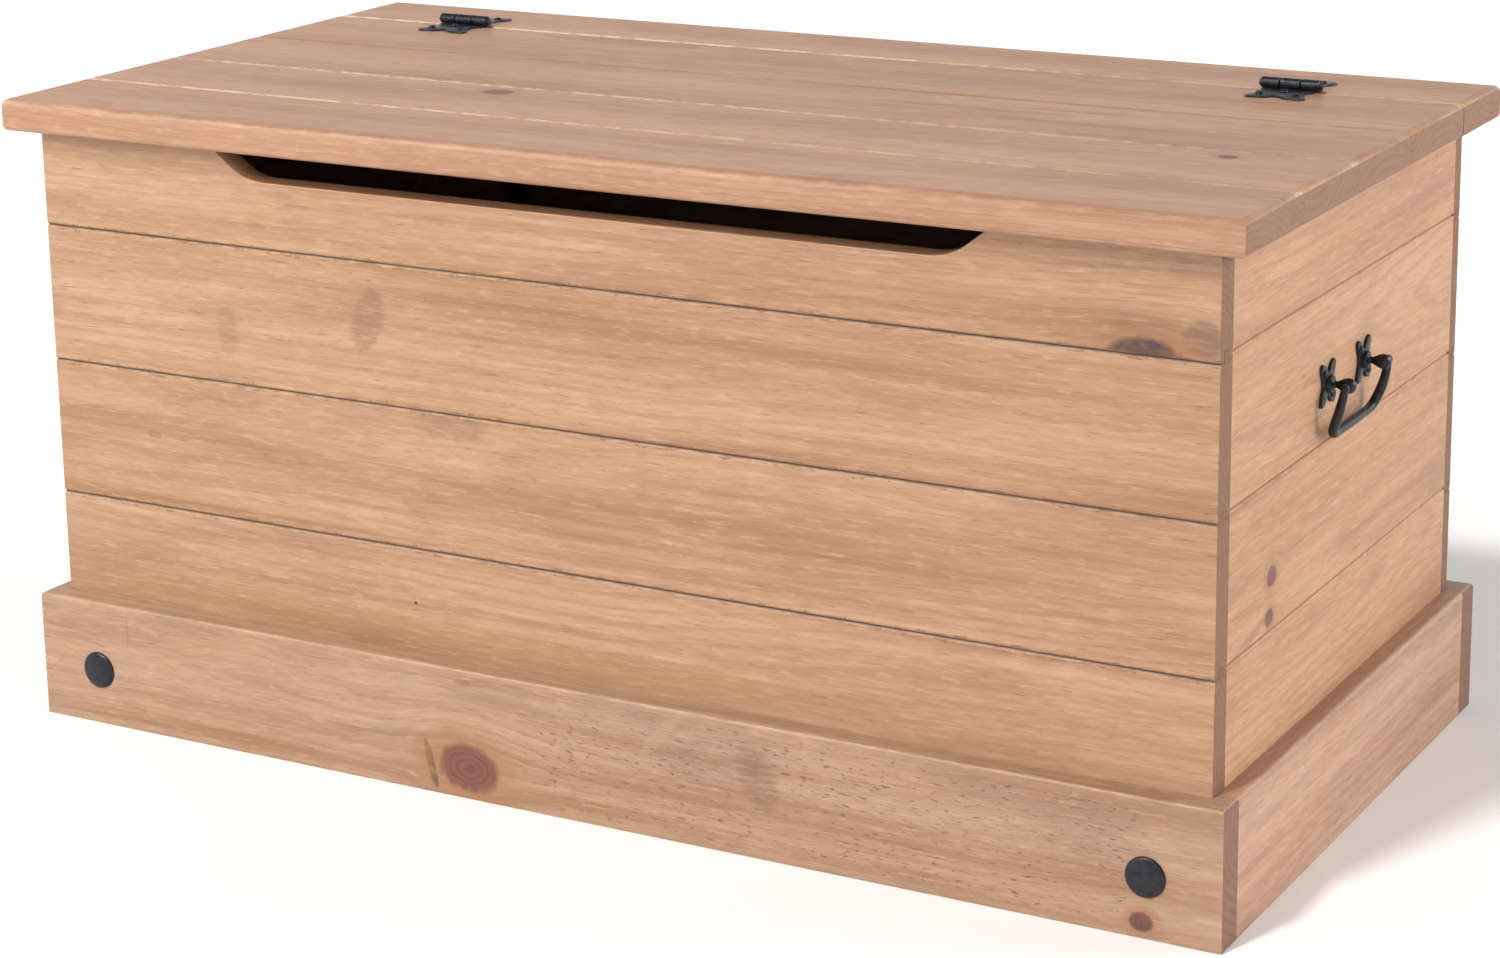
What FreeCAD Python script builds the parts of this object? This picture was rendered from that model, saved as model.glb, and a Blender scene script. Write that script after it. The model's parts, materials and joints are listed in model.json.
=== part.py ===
import FreeCAD, Part
import math
import os
import Sketcher
from FreeCAD import Rotation, Vector

# Toy box of solid pine boards with a hinged lid, a plinth and a bail handle at each end.
# Frame: x along the length, -y is the front, z up. The origin is on the floor, under the
# middle of the box and of the studs that stand out in front of it.

doc = FreeCAD.newDocument("ToyBox")

# ---------------------------------------------------------------- driving dimensions, mm
SIZES = (
    # lid and back rail
    ("lid_long", 870, "length of the lid and of the back rail"),
    ("lid_wide", 452, "lid and back rail together, front to back"),
    ("box_high", 427, "floor to the top of the lid"),
    ("lid_thick", 22, "back rail; the lid boards are thinner by the resting gap"),
    ("lid_rest_gap", 0.4, "air between the closed lid and the box"),
    ("lid_board_first", 84, "width of the front lid board"),
    ("lid_board_second", 92, "width of the second lid board"),
    ("lid_board_third", 97, "width of the third lid board"),
    ("rail_wide", 75.5, "width of the fixed back rail"),
    ("lid_joint_gap", 1, "gap between the lid and the back rail"),
    ("lid_vee", 2.6, "chamfer on both sides of a joint in the lid"),
    ("edge_round_top", 5.5, "radius round the top of the lid"),
    ("edge_round_low", 3.5, "radius round the underside of the lid"),
    ("lid_over_side", 19, "lid past the box at each end"),
    ("lid_over_front", 15.5, "lid past the box in front"),
    ("lid_over_back", 17.5, "back rail past the box behind"),
    # battens under the lid
    ("batten_wide", 45, "lid batten, along the lid"),
    ("batten_thick", 18, "lid batten, downwards"),
    ("batten_inset", 105, "lid end to the middle of a batten"),
    ("batten_clear", 9, "batten end to the front boards and to the lid's rear edge"),
    ("screw_to_seam", 32, "batten screw to the next joint behind it"),
    # walls
    ("board_thick", 18, "front and side boards"),
    ("back_thick", 12, "back boards"),
    ("board_pitch", 92.5, "cover width of a wall board"),
    ("front_top_wide", 64, "top board of the front and of the back"),
    ("side_top_wide", 60.5, "top board of a side"),
    ("wall_vee", 1.5, "chamfer on both sides of a joint in a wall"),
    ("tongue_long", 6, "tongue past the board's edge"),
    ("tongue_gap", 0.2, "air round a tongue in its groove"),
    ("slot_deep", 20, "cut in the top edge of the front"),
    ("slot_long", 551, "cut in the top edge of the front, at its mouth"),
    ("slot_slope", 25.6, "run of each sloping end of that cut"),
    ("slot_corner", 40, "radius at the bottom of each sloping end"),
    # inside
    ("post_wide", 30, "corner post, both ways"),
    ("cleat_wide", 20, "ledge under the base panel"),
    ("cleat_high", 16, "ledge under the base panel"),
    ("base_thick", 9, "base panel"),
    ("base_gap", 0.5, "air between the base panel and the walls"),
    # plinth
    ("plinth_high", 86.5, "floor to the top of the plinth"),
    ("plinth_thick", 23, "plinth boards"),
    ("plinth_seat", 23, "depth of the rebate that holds the walls"),
    ("plinth_step_front", 15.5, "plinth past the front boards"),
    ("plinth_step_side", 13, "plinth past the side boards"),
    ("plinth_step_back", 17.5, "plinth past the back boards"),
    ("plinth_round", 3, "radius along the top of the plinth"),
    ("block_wide", 30, "plinth corner block, both ways"),
    ("block_lift", 3, "floor to the underside of a corner block"),
    # studs
    ("stud_head_radius", 12.6, "domed head"),
    ("stud_head_high", 3.2, "domed head"),
    ("stud_dome", 2.9, "rounding of the head"),
    ("stud_shank_radius", 2, "nail behind the head"),
    ("stud_shank_long", 15, "nail behind the head"),
    ("stud_inset", 47, "end of the plinth to the middle of the stud"),
    ("stud_high", 38, "floor to the middle of the stud"),
    # hinges
    ("hinge_spacing", 640, "middle of one hinge to the middle of the other"),
    ("hinge_wide", 40, "length of the barrel"),
    ("hinge_reach", 34, "barrel axis to the tips of a leaf"),
    ("leaf_thick", 1.5, "leaf"),
    ("barrel_radius", 3.75, "knuckles"),
    ("barrel_lift", 4.3, "lid top to the barrel axis"),
    ("knuckle_middle", 14, "length of the knuckle on the lid's leaf"),
    ("knuckle_gap", 0.3, "between one knuckle and the next"),
    ("barrel_clear", 0.5, "between a leaf and the other leaf's knuckles"),
    ("pin_radius", 1.5, "hinge pin"),
    ("pin_fit", 0.05, "radial play of a pin in its bore"),
    ("pin_head_radius", 2.7, "hinge pin's heads"),
    ("pin_head_long", 1.6, "hinge pin's heads"),
    # screws
    ("screw_head_radius", 2.8, "round head"),
    ("screw_head_high", 1.6, "round head"),
    ("screw_dome", 1.3, "rounding of a head"),
    ("screw_shank_radius", 1.4, "shank"),
    ("screw_shank_long", 12, "shank below a leaf or a handle plate"),
    ("batten_screw_long", 30, "shank of a batten screw"),
    ("hole_gap", 0.1, "hole radius past the shank in it"),
    # handles
    ("handle_drop", 138, "top of the lid to the handle's pivots"),
    ("handle_shift", 8, "handle in front of the middle of the lid's width"),
    ("pivot_spacing", 63, "one post to the other"),
    ("pivot_out", 14.5, "wall to the pivot axis"),
    ("plate_wide", 24, "handle plate"),
    ("plate_tall", 27, "handle plate"),
    ("plate_thick", 2, "handle plate"),
    ("post_neck", 2.4, "radius of a post's neck"),
    ("post_foot", 5, "radius of a post's foot"),
    ("post_foot_high", 1, "straight part of a post's foot"),
    ("post_flare", 2, "height of the slope from a post's foot to its neck"),
    ("post_ball", 4.3, "radius of a post's ball end"),
    ("plate_screw_out", 6.8, "post to a plate screw, along the wall"),
    ("plate_screw_up", 7.2, "post to a plate screw, up or down the wall"),
    ("bail_rod", 2.9, "radius of the bail's bar"),
    ("bail_end", 2.9, "radius of the rounded top of a leg"),
    ("bail_half", 39, "middle of the bail to the middle of a leg"),
    ("bail_drop", 32, "pivot axis to the middle of the bottom bar"),
    ("bail_bend", 12, "bend between a leg and the bottom bar"),
    ("bail_lean", 16, "degrees that the hanging bail leans in to the wall"),
    ("bail_pin_into", 3, "end of a bail pin past the middle of its ball"),
)

sheet = doc.addObject("Spreadsheet::Sheet", "Sizes")
for row, (alias, number, note) in enumerate(SIZES, 1):
    sheet.set(f"A{row}", alias)
    sheet.set(f"B{row}", str(number))
    sheet.setAlias(f"B{row}", alias)
    sheet.set(f"C{row}", note)
doc.recompute()


def size(formula):
    """The number that a formula in the sheet's sizes gives."""
    return sheet.evalExpression(formula)


# ------------------------------------------------------------- planes that pieces share
LID_UNDER = "(Sizes.box_high - Sizes.lid_thick)"
LID_BOARD = "(Sizes.lid_thick - Sizes.lid_rest_gap)"
MIDDLE_Y = "(Sizes.stud_head_high / 2)"
LID_FRONT = f"({MIDDLE_Y} - Sizes.lid_wide / 2)"
LID_BACK = f"({MIDDLE_Y} + Sizes.lid_wide / 2)"
LID_HALF = "(Sizes.lid_long / 2)"
RAIL_FRONT = f"({LID_BACK} - Sizes.rail_wide)"
LID_REAR = f"({RAIL_FRONT} - Sizes.lid_joint_gap)"
HINGE_AXIS = f"({RAIL_FRONT} - Sizes.lid_joint_gap / 2)"

WALL_HALF = f"({LID_HALF} - Sizes.lid_over_side)"
WALL_FRONT = f"({LID_FRONT} + Sizes.lid_over_front)"
WALL_BACK = f"({LID_BACK} - Sizes.lid_over_back)"
WALL_LOW = "(Sizes.plinth_high - Sizes.plinth_seat)"
INNER_HALF = f"({WALL_HALF} - Sizes.board_thick)"
INNER_FRONT = f"({WALL_FRONT} + Sizes.board_thick)"
INNER_BACK = f"({WALL_BACK} - Sizes.back_thick)"
BASE_LOW = f"({WALL_LOW} + Sizes.cleat_high)"
BASE_TOP = f"({BASE_LOW} + Sizes.base_thick)"

PLINTH_HALF = f"({WALL_HALF} + Sizes.plinth_step_side)"
PLINTH_FRONT = f"({WALL_FRONT} - Sizes.plinth_step_front)"
PLINTH_BACK = f"({WALL_BACK} + Sizes.plinth_step_back)"

HANDLE_Y = f"({MIDDLE_Y} - Sizes.handle_shift)"
HANDLE_Z = "(Sizes.box_high - Sizes.handle_drop)"

# ------------------------------------------------------------------- modelling helpers
NOTHING = 1e-9
bodies = []


def piece(name, x, y, z, rotation=Rotation()):
    """An empty body whose own origin stands at the formulas x, y and z."""
    body = doc.addObject("PartDesign::Body", name)
    body.Placement.Rotation = rotation
    for axis, formula in zip("xyz", (x, y, z)):
        body.setExpression(f"Placement.Base.{axis}", formula)
    bodies.append(body)
    return body


def sketch_on(body, role, lift="0"):
    """A sketch on one of the body's own origin planes, lifted along the plane's normal."""
    sketch = body.newObject("Sketcher::SketchObject", f"{body.Name}_sketch")
    plane = next(f for f in body.Origin.OriginFeatures if f.Role == role)
    sketch.AttachmentSupport = (plane, [""])
    sketch.MapMode = "FlatFace"
    sketch.setExpression("AttachmentOffset.Base.z", lift)
    return sketch


def tie(sketch, element, point, x, y):
    """Holds a sketch point at the formulas x and y, from the sketch's origin."""
    if max(abs(size(x)), abs(size(y))) < NOTHING:
        sketch.addConstraint(Sketcher.Constraint("Coincident", element, point, -1, 1))
        return
    for kind, formula, axis in (("DistanceX", x, -2), ("DistanceY", y, -1)):
        if abs(size(formula)) < NOTHING:
            rule = Sketcher.Constraint("PointOnObject", element, point, axis)
            sketch.addConstraint(rule)
        else:
            rule = Sketcher.Constraint(kind, -1, 1, element, point, size(formula))
            index = sketch.addConstraint(rule)
            sketch.setExpression(f"Constraints[{index}]", formula)


def polygon(sketch, corners):
    """A closed outline of straight lines through corners, each a pair of formulas."""
    places = [Vector(size(x), size(y), 0) for x, y in corners]
    ends = places[1:] + places[:1]
    lines = [
        sketch.addGeometry(Part.LineSegment(start, end), False)
        for start, end in zip(places, ends)
    ]
    for line, following in zip(lines, lines[1:] + lines[:1]):
        sketch.addConstraint(Sketcher.Constraint("Coincident", line, 2, following, 1))
    for line, (x, y) in zip(lines, corners):
        tie(sketch, line, 1, x, y)


def rectangle(sketch, x0, y0, x1, y1):
    polygon(sketch, ((x0, y0), (x1, y0), (x1, y1), (x0, y1)))


def circles(sketch, centres, radius):
    """A circle of the radius formula round each centre, a pair of formulas."""
    for x, y in centres:
        middle = Vector(size(x), size(y), 0)
        ring = sketch.addGeometry(Part.Circle(middle, Vector(0, 0, 1), size(radius)), False)
        tie(sketch, ring, 3, x, y)
        index = sketch.addConstraint(Sketcher.Constraint("Radius", ring, size(radius)))
        sketch.setExpression(f"Constraints[{index}]", radius)


def quarter(sketch, middle, radius, start):
    """A quarter circle that runs anticlockwise from the start angle, in degrees."""
    ring = Part.Circle(middle, Vector(0, 0, 1), radius)
    first = math.radians(start)
    return sketch.addGeometry(Part.ArcOfCircle(ring, first, first + math.pi / 2), False)


def corner_waste(sketch, x, y, inward_x, inward_y, radius):
    """The waste outside a rounded corner: two edges and a quarter circle between them."""
    r = size(radius)
    corner = Vector(size(x), size(y), 0)
    along_x = corner + Vector(inward_x * r, 0, 0)
    along_y = corner + Vector(0, inward_y * r, 0)
    start = {(1, 1): 180, (-1, 1): 270, (-1, -1): 0, (1, -1): 90}[inward_x, inward_y]
    upright = sketch.addGeometry(Part.LineSegment(along_y, corner), False)
    level = sketch.addGeometry(Part.LineSegment(corner, along_x), False)
    arc = quarter(sketch, along_x + Vector(0, inward_y * r, 0), r, start)
    by_level, by_upright = (1, 2) if start in (90, 270) else (2, 1)
    for rule in (
        Sketcher.Constraint("Coincident", upright, 2, level, 1),
        Sketcher.Constraint("Coincident", level, 2, arc, by_level),
        Sketcher.Constraint("Coincident", arc, by_upright, upright, 1),
        Sketcher.Constraint("Vertical", upright),
        Sketcher.Constraint("Horizontal", level),
        Sketcher.Constraint("Vertical", arc, by_level, arc, 3),
        Sketcher.Constraint("Horizontal", arc, by_upright, arc, 3),
    ):
        sketch.addConstraint(rule)
    index = sketch.addConstraint(Sketcher.Constraint("Radius", arc, r))
    sketch.setExpression(f"Constraints[{index}]", radius)
    tie(sketch, level, 1, x, y)


def pad(body, sketch, length, backwards=False):
    feature = body.newObject("PartDesign::Pad", f"{body.Name}_pad")
    feature.Profile = sketch
    feature.Reversed = backwards
    feature.setExpression("Length", length)
    return feature


def pocket(body, sketch, depth, backwards=False):
    """A blind cut against the sketch's normal, or along it when backwards."""
    feature = body.newObject("PartDesign::Pocket", f"{body.Name}_cut")
    feature.Profile = sketch
    feature.Reversed = backwards
    feature.setExpression("Length", depth)
    return feature


def cut_through(body, sketch):
    """A cut right through the body, both ways from the sketch."""
    feature = body.newObject("PartDesign::Pocket", f"{body.Name}_cut")
    feature.Profile = sketch
    feature.SideType = "Symmetric"
    feature.Type = "ThroughAll"
    return feature


def block(name, x0, y0, z0, x1, y1, z1):
    """A plain squared timber or panel between two corners."""
    body = piece(name, x0, y0, z0)
    sketch = sketch_on(body, "XY_Plane")
    rectangle(sketch, "0", "0", f"{x1} - {x0}", f"{y1} - {y0}")
    pad(body, sketch, f"{z1} - {z0}")
    return body


def round_over(body, role, corners):
    """Rounds edges that run square to the plane: each is x, y, inward x, inward y, radius."""
    sketch = sketch_on(body, role)
    for corner in corners:
        corner_waste(sketch, *corner)
    cut_through(body, sketch)


# ---------------------------------------------------------------------- matched boards
def board_section(thick, wide, low, high, vee):
    """Corners of a board's section, each (from the face side, across the width).

    low and high say how the two long edges are made: plain, vee (a chamfer only) or
    joint (a chamfer with a groove at the low edge, or with a tongue at the high edge).
    """
    near, far = f"{thick} / 3", f"{thick} * 2 / 3"
    corners = [("0", "0")] if low == "plain" else [("0", vee), (vee, "0")]
    if low == "joint":
        groove = "Sizes.tongue_long + Sizes.tongue_gap"
        corners += [
            (f"{near} - Sizes.tongue_gap", "0"),
            (f"{near} - Sizes.tongue_gap", groove),
            (f"{far} + Sizes.tongue_gap", groove),
            (f"{far} + Sizes.tongue_gap", "0"),
        ]
    corners += [(thick, "0"), (thick, wide)]
    if high == "joint":
        tip = f"{wide} + Sizes.tongue_long"
        corners += [(far, wide), (far, tip), (near, tip), (near, wide)]
    if high == "plain":
        corners += [("0", wide)]
    else:
        corners += [(vee, wide), ("0", f"{wide} - {vee}")]
    return corners


# How a section's two directions lie in the sketch: face up, face towards the sketch's
# low side (front boards, left side), or face towards its high side (back, right side).
LAY = {
    "face_up": lambda thick, across, along: (along, f"{thick} - ({across})"),
    "face_low": lambda thick, across, along: (across, along),
    "face_high": lambda thick, across, along: (f"{thick} - ({across})", along),
}


def board(name, run, lay, thick, wide, length, ends, place, vee):
    """A board that runs along x or y; ends are the kinds of its low and high edges."""
    body = piece(name, *place)
    role = "YZ_Plane" if run == "x" else "XZ_Plane"
    sketch = sketch_on(body, role)
    corners = board_section(thick, wide, *ends, vee)
    polygon(sketch, [LAY[lay](thick, across, along) for across, along in corners])
    pad(body, sketch, length, backwards=run == "y")
    return body


def stack(count):
    """The kinds of edge of each board in a stack, from its first to its last."""
    return [
        ("plain" if n == 0 else "joint", "plain" if n == count - 1 else "joint")
        for n in range(count)
    ]


WALL_BOARDS = 4


def wall(name, run, lay, thick, top_wide, length, x, y):
    """Four boards, one above the other, from the plinth's seat to the lid."""
    seams = [WALL_LOW]
    for n in range(WALL_BOARDS - 1):
        below_top = WALL_BOARDS - 2 - n
        seams.append(f"({LID_UNDER} - {top_wide} - Sizes.board_pitch * {below_top})")
    seams.append(LID_UNDER)
    made = []
    for n, ends in enumerate(stack(WALL_BOARDS)):
        wide = f"({seams[n + 1]} - {seams[n]})"
        made.append(board(
            f"{name}_{n + 1}", run, lay, thick, wide, length, ends, (x, y, seams[n]),
            "Sizes.wall_vee",
        ))
    return made, seams


FULL_LENGTH = f"(2 * {WALL_HALF})"
SIDE_LENGTH = f"({INNER_BACK} - {INNER_FRONT})"

front_boards, _ = wall(
    "front_board", "x", "face_low", "Sizes.board_thick", "Sizes.front_top_wide",
    FULL_LENGTH, f"-{WALL_HALF}", WALL_FRONT,
)
wall(
    "back_board", "x", "face_high", "Sizes.back_thick", "Sizes.front_top_wide",
    FULL_LENGTH, f"-{WALL_HALF}", INNER_BACK,
)
left_boards, side_seams = wall(
    "left_side_board", "y", "face_low", "Sizes.board_thick", "Sizes.side_top_wide",
    SIDE_LENGTH, f"-{WALL_HALF}", INNER_FRONT,
)
right_boards, _ = wall(
    "right_side_board", "y", "face_high", "Sizes.board_thick", "Sizes.side_top_wide",
    SIDE_LENGTH, INNER_HALF, INNER_FRONT,
)

# The ventilation and finger slot: a long shallow cut with sloping, rounded ends.
top_front = front_boards[-1]
slot_bottom = "(Sizes.front_top_wide - Sizes.slot_deep)"
slot_sketch = sketch_on(top_front, "XZ_Plane")
polygon(
    slot_sketch,
    (
        (f"{WALL_HALF} - Sizes.slot_long / 2", "Sizes.front_top_wide"),
        (f"{WALL_HALF} - Sizes.slot_long / 2 + Sizes.slot_slope", slot_bottom),
        (f"{WALL_HALF} + Sizes.slot_long / 2 - Sizes.slot_slope", slot_bottom),
        (f"{WALL_HALF} + Sizes.slot_long / 2", "Sizes.front_top_wide"),
    ),
)
slot = cut_through(top_front, slot_sketch)
doc.recompute()
slot_corners = [
    f"Edge{n}"
    for n, edge in enumerate(slot.Shape.Edges, 1)
    if abs(edge.BoundBox.ZMin - size(slot_bottom)) < 1e-3
    and edge.BoundBox.ZLength < 1e-3
    and abs(edge.BoundBox.YLength - size("Sizes.board_thick")) < 1e-3
]
slot_rounding = top_front.newObject("PartDesign::Fillet", "slot_rounding")
slot_rounding.Base = (slot, slot_corners)
slot_rounding.setExpression("Radius", "Sizes.slot_corner")


# ------------------------------------------------------------------ lid and back rail
def lid_rounding(body, thick, wide, front=False, back=False):
    """Rounds both ends of a lid board, and its front or back edge."""
    ends = [("0", 1), ("Sizes.lid_long", -1)]
    top = [(x, thick, inward, -1, "Sizes.edge_round_top") for x, inward in ends]
    low = [(x, "0", inward, 1, "Sizes.edge_round_low") for x, inward in ends]
    round_over(body, "XZ_Plane", top + low)
    edge, inward = ("0", 1) if front else (wide, -1)
    if front or back:
        round_over(
            body,
            "YZ_Plane",
            [
                (edge, thick, inward, -1, "Sizes.edge_round_top"),
                (edge, "0", inward, 1, "Sizes.edge_round_low"),
            ],
        )


lid_edges = [LID_FRONT]
for width in ("Sizes.lid_board_first", "Sizes.lid_board_second", "Sizes.lid_board_third"):
    lid_edges.append(f"({lid_edges[-1]} + {width})")
lid_edges.append(LID_REAR)
LID_BOARDS = len(lid_edges) - 1
LID_LOW = f"({LID_UNDER} + Sizes.lid_rest_gap)"

lid_boards = []
for n in range(LID_BOARDS):
    wide = f"({lid_edges[n + 1]} - {lid_edges[n]})"
    ends = ("plain" if n == 0 else "joint", "vee" if n == LID_BOARDS - 1 else "joint")
    lid_board = board(
        f"lid_board_{n + 1}", "x", "face_up", LID_BOARD, wide, "Sizes.lid_long", ends,
        (f"-{LID_HALF}", lid_edges[n], LID_LOW), "Sizes.lid_vee",
    )
    lid_rounding(lid_board, LID_BOARD, wide, front=n == 0)
    lid_boards.append(lid_board)

back_rail = board(
    "back_rail", "x", "face_up", "Sizes.lid_thick", "Sizes.rail_wide", "Sizes.lid_long",
    ("vee", "plain"), (f"-{LID_HALF}", RAIL_FRONT, LID_UNDER), "Sizes.lid_vee",
)
lid_rounding(back_rail, "Sizes.lid_thick", "Sizes.rail_wide", back=True)

# Battens under the lid, with one screw up into each lid board.
BATTEN_FRONT = f"({INNER_FRONT} + Sizes.batten_clear)"
BATTEN_BACK = f"({LID_REAR} - Sizes.batten_clear)"
BATTEN_LOW = f"({LID_LOW} - Sizes.batten_thick)"
BATTEN_X = f"({LID_HALF} - Sizes.batten_inset)"
screw_rows = [f"({edge} - Sizes.screw_to_seam)" for edge in lid_edges[1:]]
HOLE = "(Sizes.screw_shank_radius + Sizes.hole_gap)"

for side, sign in (("left", -1), ("right", 1)):
    middle = f"({sign} * {BATTEN_X})"
    low_x = f"({middle} - Sizes.batten_wide / 2)"
    batten = block(
        f"lid_batten_{side}",
        low_x, BATTEN_FRONT, BATTEN_LOW,
        f"({middle} + Sizes.batten_wide / 2)", BATTEN_BACK, LID_LOW,
    )
    holes = sketch_on(batten, "XY_Plane")
    circles(holes, [("Sizes.batten_wide / 2", f"{y} - {BATTEN_FRONT}") for y in screw_rows], HOLE)
    cut_through(batten, holes)

for lid_board, edge, y in zip(lid_boards, lid_edges, screw_rows):
    holes = sketch_on(lid_board, "XY_Plane")
    centres = [(f"{LID_HALF} + {sign} * {BATTEN_X}", f"{y} - {edge}") for sign in (-1, 1)]
    circles(holes, centres, HOLE)
    pocket(
        lid_board, holes,
        "Sizes.batten_screw_long - Sizes.batten_thick + Sizes.hole_gap", backwards=True,
    )


def fasteners(name, centres, place, rotation, head, shank, dome):
    """Round-headed fasteners as separate solids; each head stands on the local xy plane.

    head and shank are pairs of formulas, radius and length; the shanks point to local -z.
    """
    body = piece(name, *place, rotation)
    shanks = sketch_on(body, "XY_Plane")
    circles(shanks, centres, shank[0])
    pad(body, shanks, shank[1], backwards=True)
    heads = sketch_on(body, "XY_Plane")
    circles(heads, centres, head[0])
    top = pad(body, heads, head[1])
    doc.recompute()
    rims = [
        f"Edge{n}"
        for n, edge in enumerate(top.Shape.Edges, 1)
        if edge.BoundBox.ZMin > size(head[1]) - 1e-3
    ]
    rounding = body.newObject("PartDesign::Fillet", f"{name}_dome")
    rounding.Base = (top, rims)
    rounding.setExpression("Radius", dome)
    return body


SCREW_HEAD = ("Sizes.screw_head_radius", "Sizes.screw_head_high")
SCREW_SHANK = ("Sizes.screw_shank_radius", "Sizes.screw_shank_long")
UPSIDE_DOWN = Rotation(Vector(1, 0, 0), 180)

fasteners(
    "lid_batten_screws",
    [(f"{sign} * {BATTEN_X}", f"-{y}") for sign in (-1, 1) for y in screw_rows],
    ("0", "0", BATTEN_LOW), UPSIDE_DOWN,
    SCREW_HEAD, ("Sizes.screw_shank_radius", "Sizes.batten_screw_long"), "Sizes.screw_dome",
)

# ---------------------------------------------------------- posts, base panel and plinth
for end, low_x, high_x in (
    ("left", f"-{INNER_HALF}", f"(-{INNER_HALF} + Sizes.post_wide)"),
    ("right", f"({INNER_HALF} - Sizes.post_wide)", INNER_HALF),
):
    for depth, low_y, high_y in (
        ("front", INNER_FRONT, f"({INNER_FRONT} + Sizes.post_wide)"),
        ("back", f"({INNER_BACK} - Sizes.post_wide)", INNER_BACK),
    ):
        block(
            f"corner_post_{depth}_{end}",
            low_x, low_y, BASE_TOP,
            high_x, high_y, LID_UNDER,
        )

block(
    "base_panel",
    f"(-{INNER_HALF} + Sizes.base_gap)", f"({INNER_FRONT} + Sizes.base_gap)", BASE_LOW,
    f"({INNER_HALF} - Sizes.base_gap)", f"({INNER_BACK} - Sizes.base_gap)", BASE_TOP,
)
CLEAT_BEHIND_FRONT = f"({INNER_FRONT} + Sizes.cleat_wide)"
CLEAT_BEFORE_BACK = f"({INNER_BACK} - Sizes.cleat_wide)"
for name, x0, y0, x1, y1 in (
    ("front", f"-{INNER_HALF}", INNER_FRONT, INNER_HALF, CLEAT_BEHIND_FRONT),
    ("back", f"-{INNER_HALF}", CLEAT_BEFORE_BACK, INNER_HALF, INNER_BACK),
    (
        "left", f"-{INNER_HALF}", CLEAT_BEHIND_FRONT,
        f"(-{INNER_HALF} + Sizes.cleat_wide)", CLEAT_BEFORE_BACK,
    ),
    (
        "right", f"({INNER_HALF} - Sizes.cleat_wide)", CLEAT_BEHIND_FRONT,
        INNER_HALF, CLEAT_BEFORE_BACK,
    ),
):
    block(f"base_cleat_{name}", x0, y0, WALL_LOW, x1, y1, BASE_LOW)

# The front and back plinth boards run the full length and lap the side ones. A rebate
# inside the top edge seats the walls; on the long boards it stops short of the ends.
PLINTH_LONG = f"(2 * {PLINTH_HALF})"
PLINTH_INNER_FRONT = f"({PLINTH_FRONT} + Sizes.plinth_thick)"
PLINTH_INNER_BACK = f"({PLINTH_BACK} - Sizes.plinth_thick)"
PLINTH_INNER_HALF = f"({PLINTH_HALF} - Sizes.plinth_thick)"

plinth_long_boards = {}
for name, y0, y1, seat_low, seat_high, outer, inward in (
    (
        "plinth_front", PLINTH_FRONT, PLINTH_INNER_FRONT,
        "Sizes.plinth_step_front", "Sizes.plinth_thick", "0", 1,
    ),
    (
        "plinth_back", PLINTH_INNER_BACK, PLINTH_BACK,
        "0", "Sizes.plinth_thick - Sizes.plinth_step_back", "Sizes.plinth_thick", -1,
    ),
):
    long_board = block(
        name, f"-{PLINTH_HALF}", y0, "0", PLINTH_HALF, y1, "Sizes.plinth_high"
    )
    seat = sketch_on(long_board, "XY_Plane", "Sizes.plinth_high")
    rectangle(
        seat,
        "Sizes.plinth_step_side", seat_low,
        f"{PLINTH_LONG} - Sizes.plinth_step_side", seat_high,
    )
    pocket(long_board, seat, "Sizes.plinth_seat")
    round_over(
        long_board, "YZ_Plane",
        [(outer, "Sizes.plinth_high", inward, -1, "Sizes.plinth_round")],
    )
    round_over(
        long_board, "XZ_Plane",
        [
            ("0", "Sizes.plinth_high", 1, -1, "Sizes.plinth_round"),
            (PLINTH_LONG, "Sizes.plinth_high", -1, -1, "Sizes.plinth_round"),
        ],
    )
    plinth_long_boards[name] = long_board

for name, x0, outer_first in (
    ("plinth_left", f"-{PLINTH_HALF}", True),
    ("plinth_right", PLINTH_INNER_HALF, False),
):
    side_board = piece(name, x0, PLINTH_INNER_FRONT, "0")
    corners = [
        ("0", "0"),
        ("Sizes.plinth_thick", "0"),
        ("Sizes.plinth_thick", WALL_LOW),
        ("Sizes.plinth_step_side", WALL_LOW),
        ("Sizes.plinth_step_side", "Sizes.plinth_high"),
        ("0", "Sizes.plinth_high"),
    ]
    if not outer_first:
        corners = [(f"Sizes.plinth_thick - {x}", z) for x, z in corners]
    profile = sketch_on(side_board, "XZ_Plane")
    polygon(profile, corners)
    pad(side_board, profile, f"{PLINTH_INNER_BACK} - {PLINTH_INNER_FRONT}", backwards=True)
    outer, inward = ("0", 1) if outer_first else ("Sizes.plinth_thick", -1)
    round_over(
        side_board, "XZ_Plane",
        [(outer, "Sizes.plinth_high", inward, -1, "Sizes.plinth_round")],
    )

for end, low_x, high_x in (
    ("left", f"-{PLINTH_INNER_HALF}", f"(-{PLINTH_INNER_HALF} + Sizes.block_wide)"),
    ("right", f"({PLINTH_INNER_HALF} - Sizes.block_wide)", PLINTH_INNER_HALF),
):
    for depth, low_y, high_y in (
        ("front", PLINTH_INNER_FRONT, f"({PLINTH_INNER_FRONT} + Sizes.block_wide)"),
        ("back", f"({PLINTH_INNER_BACK} - Sizes.block_wide)", PLINTH_INNER_BACK),
    ):
        block(
            f"plinth_block_{depth}_{end}",
            low_x, low_y, "Sizes.block_lift",
            high_x, high_y, WALL_LOW,
        )

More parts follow.
